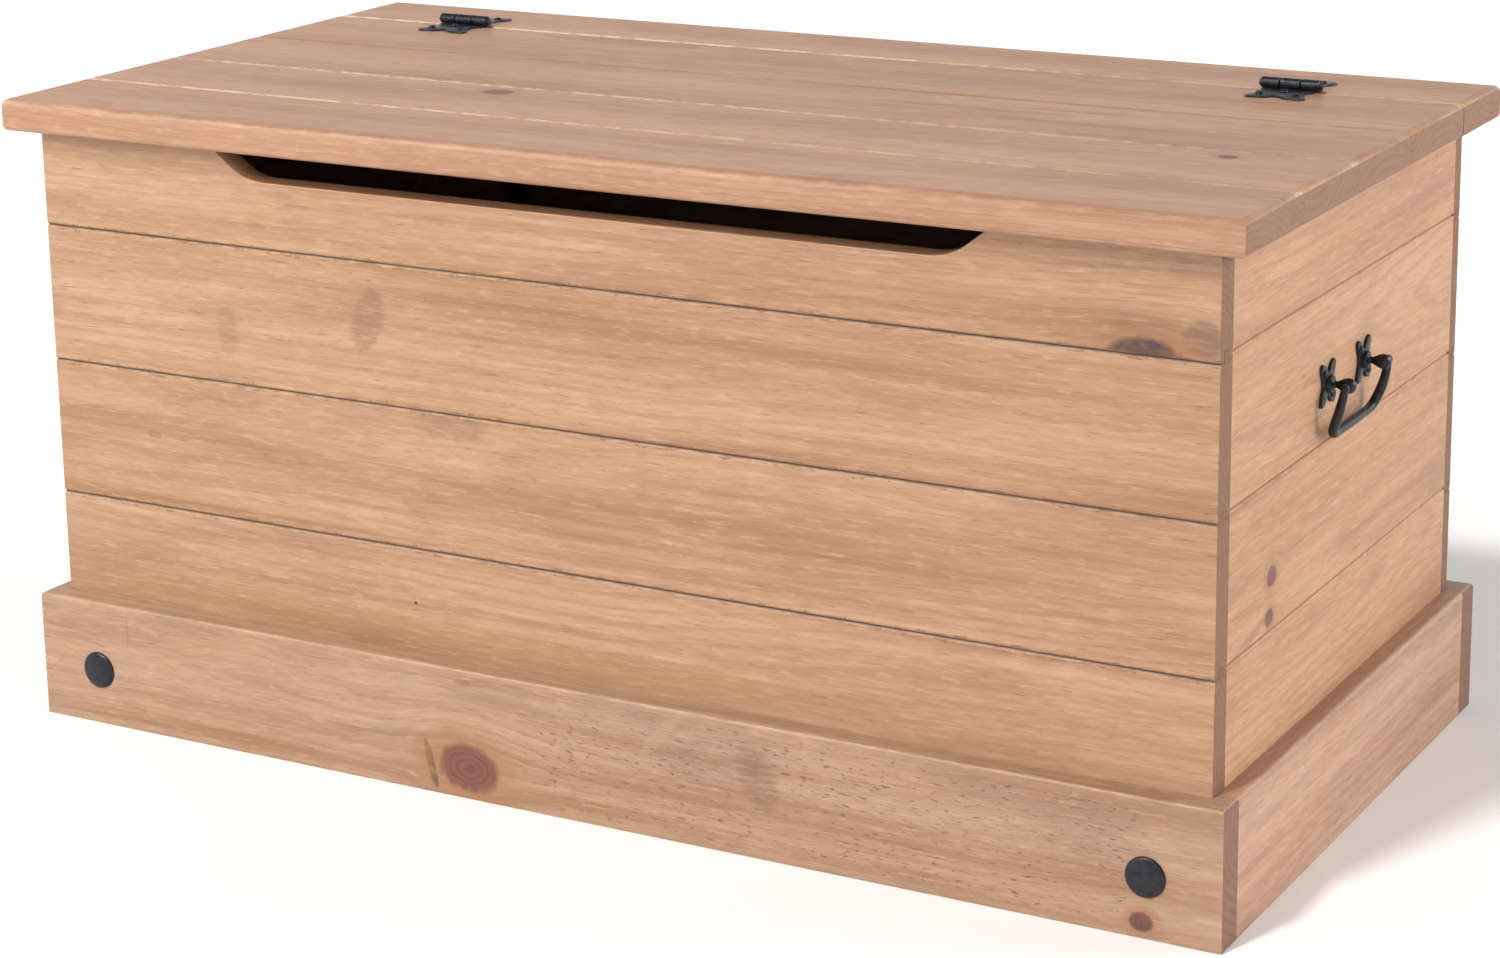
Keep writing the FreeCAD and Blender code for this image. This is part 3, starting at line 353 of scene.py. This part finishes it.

    # Torn fibres along the joints; rounded corners and seam facets rubbed pale, partly real wear and partly
    # a painted highlight; and the bottom of each joint's V darkened, partly dirt and partly painted shade.
    low_edge, high_edge = edges[0] - (not joined[0]), edges[1] + (not joined[1])
    inset = f.math("MINIMUM", f.math("SUBTRACT", across, low_edge), f.math("SUBTRACT", high_edge, across))
    tears = f.between(f.noise(start, (120, 160, 160), 5, 0.75), 0.46, 0.76)
    ragged = f.plus(0.0012, f.times(tears, 0.0026))
    torn = f.times(f.between(f.math("SUBTRACT", ragged, inset), -0.0004, 0.0004), chips)
    colour = f.blend(f.times(torn, 0.58), colour, TORN_BROWN)
    turned = [f.math("ABSOLUTE", facing[a]) for a in "xyz"]
    corner = f.math("SUBTRACT", 1.0, f.math("MAXIMUM", f.math("MAXIMUM", *turned[:2]), turned[2]))
    middle = sum(edges) / 2
    # Painted highlight on top of real wear: each edge's pale rub has its own strength, strongest on the
    # lid's seam facets that face the key light.
    wear_and_highlight = f.between(across, middle - 0.001, middle + 0.001, *worn)
    flecks = f.between(f.noise(start, (75, 30, 30), 3, 0.6), 0.40, 0.62, 1.0, 0.35)
    at_joint = f.between(inset, 0.004, 0.006, 1, 0.4)
    rubbed_and_highlit = f.times(f.between(corner, 0.03, 0.2), f.times(f.times(flecks, at_joint), f.times(wear_and_highlight, 0.5)))
    colour = f.blend(f.math("MINIMUM", rubbed_and_highlit, 0.9), colour, RUBBED_AND_HIGHLIT_PALE)
    # Painted shade: the bottom of each joint's V is darkened, partly dirt and partly the shade that falls in
    # the groove.
    dirt_and_painted_shade = f.times(f.between(inset, 0.0002, 0.0013, dirt, 0), f.between(streaks, 0.35, 0.55, 0.55, 1))
    colour = f.blend(dirt_and_painted_shade, colour, dirt_tone)

    # End grain: the same rings seen across, darker and greyer.
    end = f.between(f.math("ABSOLUTE", facing[lay[0]]), 0.55, 0.9)
    grains = f.noise(start, (900, 1500, 1500), 2)
    pale_end = tinted(tinted(END_PINE, tone), end_tone)
    cut = f.blend(f.times(late, 0.6), pale_end, tinted(END_LATE, end_tone))
    cut = f.blend(f.between(grains, 0.45, 0.7, 0, 0.4), cut, tinted(END_PALE, end_tone))
    colour = f.blend(end, colour, cut)
    f.feed(colour, f.shader.inputs["Base Color"])

    rough = f.plus(f.between(streaks, 0.3, 0.7, 0.40, 0.54), f.times(end, 0.22))
    f.feed(f.plus(rough, f.times(torn, 0.2)), f.shader.inputs["Roughness"])
    relief = f.plus(f.times(fine, 0.55), f.plus(f.times(late, 0.35), f.times(f.plus(torn, pits), -0.9)))
    f.bump(relief, 0.00016)
    f.shader.inputs["Specular IOR Level"].default_value = 0.32
    f.shader.inputs["Coat Weight"].default_value = 0.05
    f.shader.inputs["Coat Roughness"].default_value = 0.32
    return f.material


def plywood(name):
    """Sanded ply: broad rotary-cut figure on the faces, thin layers on the edges."""
    f = Finish(name)
    where = f.place.outputs["Object"]
    waves = f.noise(where, (2.2, 11, 40), 3, 0.55)
    lines = f.noise(where, (6, 240, 40), 3, 0.6)
    colour = f.ramp(f.plus(f.times(waves, 0.65), f.times(lines, 0.35)),
                    (0.38, (0.40, 0.255, 0.145)), (0.62, (0.57, 0.40, 0.245)))
    layers = f.math("FRACT", f.times(f.split(where)[2], 330))
    upright = f.math("ABSOLUTE", f.split(f.place.outputs["Normal"])[2])
    edge = f.blend(f.between(layers, 0.45, 0.55), (0.50, 0.34, 0.20), (0.30, 0.18, 0.10))
    f.feed(f.blend(f.between(upright, 0.3, 0.7), edge, colour), f.shader.inputs["Base Color"])
    f.feed(f.between(waves, 0.3, 0.7, 0.6, 0.72), f.shader.inputs["Roughness"])
    f.bump(lines, 0.0001)
    return f.material


def black_iron(name):
    """Satin black paint over hammered iron, thinner and browner where hands rub it."""
    f = Finish(name)
    where = f.place.outputs["Object"]
    dents = f.noise(where, (260, 260, 260), 2, 0.5)
    skin = f.noise(where, (1900, 1900, 1900), 2, 0.6)
    rubs = f.between(f.noise(where, (130, 130, 130), 4, 0.65), 0.60, 0.72)
    colour = f.blend(f.between(dents, 0.3, 0.7), (0.0062, 0.0066, 0.0100), (0.015, 0.016, 0.022))
    colour = f.blend(f.times(rubs, 0.25), colour, (0.045, 0.040, 0.038))
    f.feed(colour, f.shader.inputs["Base Color"])
    rough = f.plus(f.between(dents, 0.25, 0.75, 0.30, 0.44), f.times(rubs, 0.12))
    f.feed(rough, f.shader.inputs["Roughness"])
    f.bump(f.plus(dents, f.times(skin, 0.12)), 0.0005)
    f.shader.inputs["Specular IOR Level"].default_value = 0.34
    return f.material


def zinc(name):
    """Bright plated screws with the dull marks of the driver."""
    f = Finish(name)
    where = f.place.outputs["Object"]
    marks = f.noise(where, (700, 700, 700), 3, 0.6)
    colour = f.blend(f.between(marks, 0.4, 0.7), (0.58, 0.56, 0.50), (0.36, 0.34, 0.30))
    f.feed(colour, f.shader.inputs["Base Color"])
    f.feed(f.between(marks, 0.3, 0.7, 0.25, 0.42), f.shader.inputs["Roughness"])
    f.shader.inputs["Metallic"].default_value = 1
    f.bump(marks, 0.0001)
    return f.material


# -------------------------------------------------------------------- making of pieces
def finished(name, shape, material, body, slot_name, *nodes, keen=35, squared=False):
    """Turns a bmesh into a piece that rides on a body and stands for CAD nodes.

    On squared timber the faces along the axes are shaded flat, and only the roundings smooth.
    """
    mesh = bpy.data.meshes.new(name)
    shape.to_mesh(mesh)
    shape.free()
    mesh.shade_smooth()
    mesh.set_sharp_from_angle(angle=math.radians(keen))
    if squared:
        for face in mesh.polygons:
            face.use_smooth = max(abs(n) for n in face.normal) < 0.9999
    mesh.materials.append(material)
    obj = bpy.data.objects.new(name, mesh)
    bpy.context.scene.collection.objects.link(obj)
    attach(obj, body)
    if nodes:
        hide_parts(*nodes)
    return obj


def add_to(whole, part, matrix):
    """Closes up a part, places it and joins it to the whole."""
    bmesh.ops.remove_doubles(part, verts=part.verts, dist=1e-6)
    bmesh.ops.recalc_face_normals(part, faces=part.faces)
    part.transform(matrix)
    carrier = bpy.data.meshes.new("carrier")
    part.to_mesh(carrier)
    part.free()
    whole.from_mesh(carrier)
    bpy.data.meshes.remove(carrier)


def turned(whole, profile, matrix, steps=36):
    """A shape turned round local z from (radius, height) pairs in millimetres."""
    part = bmesh.new()
    line = [part.verts.new((r * MM, 0, z * MM)) for r, z in profile]
    edges = [part.edges.new(pair) for pair in zip(line, line[1:])]
    bmesh.ops.spin(
        part, geom=line + edges, cent=(0, 0, 0), axis=(0, 0, 1), angle=math.tau, steps=steps,
        use_merge=True,
    )
    add_to(whole, part, matrix)


def forged(whole, outline, thick, ease, matrix):
    """A flat forging from an outline in millimetres, with its upper edge eased."""
    part = bmesh.new()
    face = part.faces.new([part.verts.new((x * MM, y * MM, 0)) for x, y in outline])
    bmesh.ops.recalc_face_normals(part, faces=[face])
    raised = bmesh.ops.extrude_face_region(part, geom=[face])["geom"]
    lifted = [v for v in raised if isinstance(v, bmesh.types.BMVert)]
    bmesh.ops.translate(part, verts=lifted, vec=(0, 0, thick * MM))
    rim = [e for e in part.edges if all(v in lifted for v in e.verts)]
    bmesh.ops.bevel(
        part, geom=rim, offset=ease * MM, offset_type="OFFSET", affect="EDGES", segments=2,
        profile=0.5, material=-1, clamp_overlap=True,
    )
    add_to(whole, part, matrix)


def turn_to(direction, place):
    """Local z along a direction, at a place in metres."""
    return Matrix.Translation(place) @ Vector(direction).to_track_quat("Z", "Y").to_matrix().to_4x4()


def screw(whole, place, direction, twist):
    """A round-headed screw with a straight slot across its dome."""
    matrix = turn_to(direction, place) @ Matrix.Rotation(twist, 4, "Z")
    turned(
        whole, ((0, -6), (1.4, -6), (1.4, 0), (2.75, 0), (2.8, 0.35), (2.45, 1.0), (1.6, 1.45), (0, 1.6)),
        matrix, 24,
    )
    cut = bmesh.new()
    bmesh.ops.create_cube(cut, size=1)
    bmesh.ops.scale(cut, verts=cut.verts, vec=(4.3 * MM, 0.55 * MM, 0.5 * MM))
    bmesh.ops.translate(cut, verts=cut.verts, vec=(0, 0, 1.42 * MM))
    add_to(whole, cut, matrix)


def eased(node, ease):
    """A merged copy of a timber's mesh with its sharp edges eased."""
    wood = bmesh.new()
    wood.from_mesh(NODES[node].data)
    bmesh.ops.remove_doubles(wood, verts=wood.verts, dist=2e-6)
    bmesh.ops.dissolve_limit(
        wood, angle_limit=math.radians(0.6), verts=wood.verts, edges=wood.edges,
        use_dissolve_boundaries=False,
    )
    keen = [
        e for e in wood.edges
        if len(e.link_faces) == 2 and e.calc_face_angle() > math.radians(30)
        and e.calc_length() > 4 * ease * MM
    ]
    bmesh.ops.bevel(
        wood, geom=keen, offset=ease * MM, offset_type="OFFSET", affect="EDGES", segments=2,
        profile=0.5, material=-1, clamp_overlap=True,
    )
    bmesh.ops.triangulate(wood, faces=[face for face in wood.faces if len(face.verts) > 4])
    return wood


# ------------------------------------------------------------------------------ timber
def wood_piece(node, lay, edges, seed, slot_name="waxed_pine", ease=0.5, **look_of):
    """One timber in its own pine: a copy with eased edges, or the node itself where ease is 0."""
    material = pine(node, lay, edges, seed, **look_of)
    body = NODES[node]["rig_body"]
    if ease:
        return finished(f"{node}_wood", eased(node, ease), material, body, slot_name, node, squared=True)
    NODES[node].data.materials.clear()
    NODES[node].data.materials.append(material)
    return NODES[node]


def joints_of(names, axis):
    """Each board's two joint places across its width, the tongue left out."""
    lows = [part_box(n)[0][axis] for n in names] + [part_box(names[-1])[1][axis]]
    return list(zip(lows, lows[1:]))


LAYS = {"front_board": "xzy", "back_board": "xzy", "left_side_board": "yzx", "right_side_board": "yzx"}
GREY_BROWN = (0.20, 0.115, 0.075)
HONEY = (0.34, 0.175, 0.075)
RED_STREAK = (0.235, 0.098, 0.066)
RESIN_RED = (0.26, 0.10, 0.06)
PALE_STROKE = (0.50, 0.34, 0.20)
KNOTS = {
    "front_board_4": ((0.3705, 0.3425, 0.0205, 0.0088, 0, 0.05),),
    "lid_board_2": ((-0.1475, -0.0673, 0.0105, 0.0085, 0, 0.5), (0.3625, -0.0667, 0.006, 0.005, 0, 0.3)),
    "plinth_front": ((-0.0825, 0.0205, 0.0215, 0.0155, -8, 1.0), (0.3796, 0.0098, 0.007, 0.006, 0, 0.6)),
    "right_side_board_2": (
        (-0.1222, 0.1935, 0.0075, 0.0060, 0, 1.0), (-0.1253, 0.1688, 0.0065, 0.0050, 0, 1.0),
    ),
    "left_side_board_3": ((0.05, 0.30, 0.012, 0.009, 0, 0.8),),
    "back_board_2": ((0.21, 0.205, 0.016, 0.011, 0, 0.9), (-0.19, 0.228, 0.008, 0.006, 0, 0.5)),
    "back_board_3": ((-0.31, 0.295, 0.013, 0.010, 0, 0.7),),
}
SMUDGES = {
    "front_board_4": (
        (0.4050, 0.3545, 0.0135, 0.0115, 0, 0.80, GREY_BROWN),
        (0.372, 0.352, 0.034, 0.014, 0, 0.34, GREY_BROWN),
        (-0.215, 0.372, 0.012, 0.018, 15, 0.22, GREY_BROWN), (-0.22, 0.368, 0.045, 0.022, 20, 0.16, HONEY),
    ),
    "front_board_3": (
        (-0.158, 0.304, 0.0125, 0.023, -18, 0.55, GREY_BROWN), (-0.10, 0.252, 0.06, 0.014, 0, 0.30, HONEY),
        (-0.27, 0.285, 0.009, 0.020, 5, 0.28, GREY_BROWN),
    ),
    "front_board_2": (
        (-0.0976, 0.243, 0.030, 0.013, 0, 0.42, GREY_BROWN),
        (-0.335, 0.2054, 0.006, 0.004, 0, 0.5, GREY_BROWN),
    ),
    "front_board_1": (
        (-0.1295, 0.1197, 0.0016, 0.0014, 0, 0.8, BARK), (-0.05, 0.101, 0.42, 0.010, 0, 0.45, HONEY),
        (0.25, 0.116, 0.15, 0.010, 0, 0.40, HONEY),
    ),
    "plinth_front": (
        (-0.1115, 0.019, 0.0034, 0.018, 14, 1.0, BARK), (-0.118, 0.024, 0.007, 0.018, 12, 0.45, HONEY),
        (0.060, 0.068, 0.005, 0.022, -42, 0.26, PALE_STROKE),
        (0.128, 0.052, 0.014, 0.024, 24, 0.55, GREY_BROWN),
        (0.105, 0.060, 0.050, 0.018, 10, 0.26, GREY_BROWN),
        (-0.356, 0.070, 0.0008, 0.014, 0, 0.5, GREY_BROWN),
        (-0.085, 0.078, 0.007, 0.003, 0, 0.45, GREY_BROWN),
    ),
    "lid_board_3": (
        (0.245, -0.010, 0.075, 0.0050, 0, 0.62, RED_STREAK),
        (0.305, -0.040, 0.080, 0.0065, 0, 0.50, RED_STREAK),
        (0.16, 0.012, 0.080, 0.0055, 0, 0.45, RED_STREAK), (0.21, 0.026, 0.060, 0.0040, 0, 0.40, RED_STREAK),
    ),
    "lid_board_4": ((-0.17, 0.135, 0.07, 0.012, 0, 0.45, GREY_BROWN),),
    "right_side_board_4": ((0.098, 0.352, 0.05, 0.004, 0, 0.30, HONEY),),
    "right_side_board_2": ((-0.165, 0.163, 0.045, 0.0035, 12, 0.55, RESIN_RED),),
}
FRONT_TONE, SIDE_TONE, LID_TONE = (0.90, 0.87, 0.83), (1.03, 0.93, 0.82), (0.88, 0.79, 0.78)
# The end plinths' tone is the front plinth's lightened: painted light against the shade the box throws on
# them.
PLINTH_TONE, PLINTH_SIDE_PAINTED_LIGHT_TONE = (0.85, 0.87, 0.90), (0.98, 0.95, 0.96)
RAW_TONE = (1.1, 1.14, 1.16)
RAIL_SEED = 41
TICKED_PATCH, TICK_SHARE = (-0.06, 0.40, 0.0, 0.085), 0.85
PLINTH_LAYS = {"plinth_front": "xzy", "plinth_back": "xzy", "plinth_left": "yzx", "plinth_right": "yzx"}
RAW_LAYS = {
    "lid_batten_left": "yxz", "lid_batten_right": "yxz",
    **{f"corner_post_{d}_{e}": "zxy" for d in ("front", "back") for e in ("left", "right")},
    **{f"plinth_block_{d}_{e}": "zxy" for d in ("front", "back") for e in ("left", "right")},
    "base_cleat_front": "xyz", "base_cleat_back": "xyz",
    "base_cleat_left": "yxz", "base_cleat_right": "yxz",
}


def build_timber():
    """Every timber in turn, each with the next seed, and the back rail with its own."""
    seed = 11
    for wall, lay in LAYS.items():
        names = [f"{wall}_{n}" for n in range(1, 5)]
        for node, edges in zip(names, joints_of(names, 2)):
            seed += 1
            at_side = "side" in wall
            wood_piece(
                node, lay, edges, seed, tone=SIDE_TONE if at_side else FRONT_TONE,
                knots=KNOTS.get(node, ()), smudges=SMUDGES.get(node, ()),
                joined=(node != names[0], node != names[-1]), worn=(0.5, 0.9),
                chips=0.25 if at_side else 1.0, dirt=0.9 if at_side else 0.72,
                dirt_tone=JOINT_DIRT_AND_SHADE_HONEY if at_side else JOINT_DIRT_AND_SHADE_BROWN, end_tone=WALL_END,
            )
    lids = [f"lid_board_{n}" for n in range(1, 5)]
    # The lid seams' strongest pale rubs sit on the facets facing the key light, a painted highlight.
    for node, edges, worn in zip(lids, joints_of(lids, 1), ((1, 1.7), (2, 1.7), (2, 0.3), (0.3, 1.7))):
        seed += 1
        wood_piece(
            node, "xyz", edges, seed, tone=LID_TONE, knots=KNOTS.get(node, ()),
            smudges=SMUDGES.get(node, ()), chips=0.2, dirt=0.4, worn=worn,
            joined=(node != lids[0], True), end_tone=LID_END,
        )
    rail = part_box("back_rail")
    wood_piece(
        "back_rail", "xyz", (rail[0].y, rail[1].y), RAIL_SEED, tone=LID_TONE, chips=0.2, dirt=0.4,
        worn=(2, 1), joined=(True, False), end_tone=LID_END,
    )
    for node, lay in PLINTH_LAYS.items():
        seed += 1
        low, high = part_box(node)
        ticks = (TICKED_PATCH, TICK_SHARE) if node == "plinth_front" else None
        wood_piece(
            node, lay, (low.z, high.z), seed, tone=PLINTH_TONE if lay == "xzy" else PLINTH_SIDE_PAINTED_LIGHT_TONE,
            knots=KNOTS.get(node, ()), smudges=SMUDGES.get(node, ()), ticks=ticks, end_tone=PLINTH_END,
        )
    for node, lay in RAW_LAYS.items():
        seed += 1
        axis = "xyz".index(lay[1])
        low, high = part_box(node)
        wood_piece(
            node, lay, (low[axis], high[axis]), seed, slot_name="raw_pine",
            ease=0.8 if "batten" in node or "post" in node else 0, tone=RAW_TONE,
        )


def build_panel():
    panel = NODES["base_panel"]
    panel.data.materials.clear()
    panel.data.materials.append(plywood("sanded_plywood"))


# ---------------------------------------------------------------------------- ironwork
LEAF_SCREWS = ((-12.4, 24.82), (0, 13.6), (12.4, 24.82))
HINGE_OUT = 0.32  # metres; the outlines here are in millimetres
LEAF_THICK = 1.5
LEAF_HALF = (
    (13.4, 12.0), (15.0, 16.5), (14.6, 19.5), (16.4, 23.0), (19.3, 27.2),
    (20.0, 31.0), (18.6, 33.6), (15.5, 34.0), (12.0, 32.6), (9.0, 32.9), (5.4, 31.6), (2.4, 28.6), (0, 27.4),
)


def build_hinges(iron):
    pivot = Vector(next(j for j in frame["joints"] if j["name"] == "lid_hinge")["pos_m"])
    for side in ("left", "right"):
        low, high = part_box(f"hinge_{side}_lid_leaf")
        middle = (low.x + high.x) / 2
        for leaf, turn, spans in (
            ("lid", math.pi, ((-7, 7),)), ("rail", 0.0, ((-20, -7.3), (7.3, 20))),
        ):
            node = f"hinge_{side}_{leaf}_leaf"
            whole = bmesh.new()
            base = Matrix.Translation((middle, pivot.y, low.z)) @ Matrix.Rotation(turn, 4, "Z")
            near = (18.5, 4.3) if leaf == "rail" else (17.0, 4.3)
            right_half = (near, (18.5, 6.2), (15.6, 9.5)) + LEAF_HALF
            outline = right_half + tuple((-x, y) for x, y in reversed(right_half[:-1]))
            forged(whole, outline, LEAF_THICK, 0.55, base)
            for start, end in spans:
                strap = ((start + 0.6, -0.5), (end - 0.6, -0.5), (end - 0.6, 5.5), (start + 0.6, 5.5))
                forged(whole, strap, LEAF_THICK, 0.3, base)
                half = (end - start) / 2
                soft = half - 0.55
                place = Vector((middle + (start + end) / 2 * MM * (-1 if turn else 1), pivot.y, pivot.z))
                knuckle = ((0, -half), (3.1, -half), (3.75, -soft), (3.75, soft), (3.1, half), (0, half))
                turned(whole, knuckle, turn_to((1, 0, 0), place), 32)
            body = NODES[node]["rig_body"]
            finished(f"hinge_{side}_{leaf}_leaf_forged", whole, iron, body, "black_iron", node, keen=32)
        pin = bmesh.new()
        for way in (-1, 1):
            turned(
                pin, ((0, -3), (1.5, -3), (1.5, 0), (2.7, 0), (2.7, 0.7), (2.2, 1.3), (0, 1.6)),
                turn_to((way, 0, 0), Vector((middle + way * 20 * MM, pivot.y, pivot.z))), 24,
            )
        finished(f"hinge_{side}_pin_ends", pin, iron, "box", "black_iron", f"hinge_{side}_pin")
    for leaf, way in (("lid", -1), ("rail", 1)):
        node = f"hinge_{leaf}_screws"
        low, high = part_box(node)
        whole = bmesh.new()
        for side in (-1, 1):
            for n, (x, y) in enumerate(LEAF_SCREWS):
                place = Vector((side * HINGE_OUT + x * MM, pivot.y + way * y * MM, high.z - 1.6 * MM))
                screw(whole, place, (0, 0, 1), 0.5 + 1.1 * n + side * way)
        finished(f"hinge_{leaf}_screw_heads", whole, iron, NODES[node]["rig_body"], "black_iron", node)


PLATE_QUARTER = (
    (8.4, 0), (8.5, 2.6), (10.0, 5.2), (11.2, 8.4), (12.0, 12.0), (9.4, 13.5), (6.4, 12.6), (4.6, 11.6),
    (2.6, 8.8), (0.9, 6.8), (0, 6.5),
)
PLATE_SCREWS = ((-6.8, 7.2), (6.8, -7.2))
PLATE_THICK = 2.0
POST_OFF = 31.5
POST = (
    (0, 1.0), (5.6, 1.0), (5.7, 3.6), (5.2, 4.5), (3.8, 5.0), (2.3, 5.6), (2.0, 6.8), (2.5, 8.2), (3.3, 9.7),
    (4.1, 11.2), (4.6, 12.9), (4.7, 14.5), (4.3, 16.5), (3.0, 18.1), (1.4, 18.7), (0, 18.8),
)


def build_handles(iron):
    for side, way in (("left", -1), ("right", 1)):
        swing = next(j for j in frame["joints"] if j["name"] == f"bail_{side}_swing")
        pivot = Vector(swing["pos_m"])
        wall = abs(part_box(f"handle_{side}_post_front")[0 if way > 0 else 1].x)
        outward = Matrix(((0, 0, way), (1, 0, 0), (0, 1, 0))).to_4x4()
        for depth, off in (("front", -POST_OFF), ("back", POST_OFF)):
            node = f"handle_{side}_post_{depth}"
            foot = Vector((way * wall, pivot.y + off * MM, pivot.z))
            base = Matrix.Translation(foot) @ outward
            whole = bmesh.new()
            top = PLATE_QUARTER + tuple((-x, y) for x, y in reversed(PLATE_QUARTER[:-1]))
            outline = top[:-1] + tuple((-x, -y) for x, y in top[:-1])
            forged(whole, outline, PLATE_THICK, 0.6, base)
            turned(whole, POST, base, 32)
            finished(f"{node}_forged", whole, iron, "box", "black_iron", node, keen=32)
        whole = bmesh.new()
        for off in (-POST_OFF, POST_OFF):
            for n, (x, z) in enumerate(PLATE_SCREWS):
                along, up = (off + way * x) * MM, z * MM
                place = Vector((way * (wall + PLATE_THICK * MM), pivot.y + along, pivot.z + up))
                screw(whole, place, (way, 0, 0), 0.9 + n + off)
        finished(f"handle_{side}_screw_heads", whole, iron, "box", "black_iron", f"handle_{side}_screws")
        build_bail(side, way, pivot, iron)


# The bail hangs leaning in to the wall. Each point is (across, drop, bow, radius).
LEAN = math.radians(16)
BAIL_HALF = (
    (38.6, -0.6, 0.0, 2.3), (38.9, 3, 0.4, 2.55), (39.6, 9, 1.0, 2.75), (39.8, 15, 1.2, 3.0),
    (39.3, 21, 1.0, 3.1), (37.9, 26.5, 0.5, 3.1), (34.0, 31.0, 0.1, 3.05), (28.0, 32.0, 0, 2.9),
    (19, 32.0, 0, 2.85), (9, 32.0, 0, 3.0),
)
BAIL_EYE = ((0, -2.6), (1.4, -2.4), (2.4, -1.4), (2.75, 0), (2.4, 1.4), (1.4, 2.4), (0, 2.75))
EYE_OUT = 38.7


def build_bail(side, way, pivot, iron):
    """The swinging bar: a bowed leg each side, soft corners and a slightly fuller middle."""
    down = Vector((-way * math.sin(LEAN), 0, -math.cos(LEAN)))
    out = Vector((way * math.cos(LEAN), 0, -math.sin(LEAN)))
    path = [(-a, *rest) for a, *rest in BAIL_HALF] + [(a, *rest) for a, *rest in reversed(BAIL_HALF)]
    curve = bpy.data.curves.new(f"bail_{side}", "CURVE")
    curve.dimensions, curve.bevel_depth, curve.bevel_resolution = "3D", MM, 5
    curve.use_fill_caps, curve.resolution_u = True, 6
    spline = curve.splines.new("NURBS")
    spline.points.add(len(path) - 1)
    for point, (across, drop, bow, thick) in zip(spline.points, path):
        place = pivot + Vector((0, across * MM, 0)) + down * drop * MM + out * bow * MM
        point.co, point.radius = (*place, 1), thick
    spline.order_u, spline.use_endpoint_u = 3, True
    holder = bpy.data.objects.new(f"bail_{side}_line", curve)
    bpy.context.scene.collection.objects.link(holder)
    bpy.context.view_layer.update()
    swept = bpy.data.meshes.new_from_object(holder.evaluated_get(bpy.context.evaluated_depsgraph_get()))
    bpy.data.objects.remove(holder)
    whole = bmesh.new()
    whole.from_mesh(swept)
    bmesh.ops.remove_doubles(whole, verts=whole.verts, dist=1e-7)
    bmesh.ops.recalc_face_normals(whole, faces=whole.faces)
    for sign in (-1, 1):
        leg_top = turn_to((0, sign, 0), pivot + Vector((0, sign * EYE_OUT * MM, 0)))
        turned(whole, BAIL_EYE, leg_top, 28)
        turned(whole, ((0, -10), (1.5, -10), (1.5, 0), (0, 0)), leg_top, 20)
    finished(f"bail_{side}_bar", whole, iron, f"bail_{side}", "black_iron", f"handle_{side}_bail", keen=50)


STUD_HIGH, STUD_RADIUS = 3.2, 12.6
STUD = (
    (0, -15), (2, -15), (2, 0), (12.2, 0), (STUD_RADIUS, 0.3), (12.45, 0.9), (11.3, 1.7), (9.2, 2.4),
    (6.4, 2.9), (3.2, 3.15), (0, STUD_HIGH),
)


def build_studs(iron):
    low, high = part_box("plinth_studs")
    whole = bmesh.new()
    face = low.y + STUD_HIGH * MM
    for way in (-1, 1):
        place = Vector((way * (high.x - STUD_RADIUS * MM), face, (low.z + high.z) / 2))
        turned(whole, STUD, turn_to((0, -1, 0), place), 48)
    finished("plinth_stud_domes", whole, iron, "box", "black_iron", "plinth_studs", keen=50)


def build_batten_screws():
    node = NODES["lid_batten_screws"]
    node.data.materials.clear()
    node.data.materials.append(zinc("plated_steel"))


# ------------------------------------------------------------------------------- floor
def build_floor():
    plate = bmesh.new()
    bmesh.ops.create_circle(plate, cap_ends=True, radius=14, segments=96)
    bmesh.ops.translate(plate, verts=plate.verts, vec=(0, 0, -0.3 * MM))
    mesh = bpy.data.meshes.new("floor")
    plate.to_mesh(mesh)
    plate.free()
    floor = bpy.data.objects.new("floor", mesh)
    bpy.context.scene.collection.objects.link(floor)
    f = Finish("pale_floor")
    mottle = f.noise(f.place.outputs["Object"], (3, 3, 3), 3)
    f.feed(f.blend(mottle, (0.93, 0.93, 0.93), (0.95, 0.95, 0.95)), f.shader.inputs["Base Color"])
    f.shader.inputs["Roughness"].default_value = 0.8
    mesh.materials.append(f.material)


look()
surroundings()
sun("key_light", 0.66, 7, -18, 50, (1, 0.985, 0.96))
lamp("soft_box", (-1.05, -1.45, 1.25), (-0.35, -0.2, 0.2), 0.4, 15, (1, 0.985, 0.96))
sun("side_light", 0.66, 22, 122, 22)
build_floor()
build_timber()
build_panel()
IRON = black_iron("satin_black_iron")
build_hinges(IRON)
build_handles(IRON)
build_studs(IRON)
build_batten_screws()
bpy.context.scene.view_settings.view_transform = "Standard"
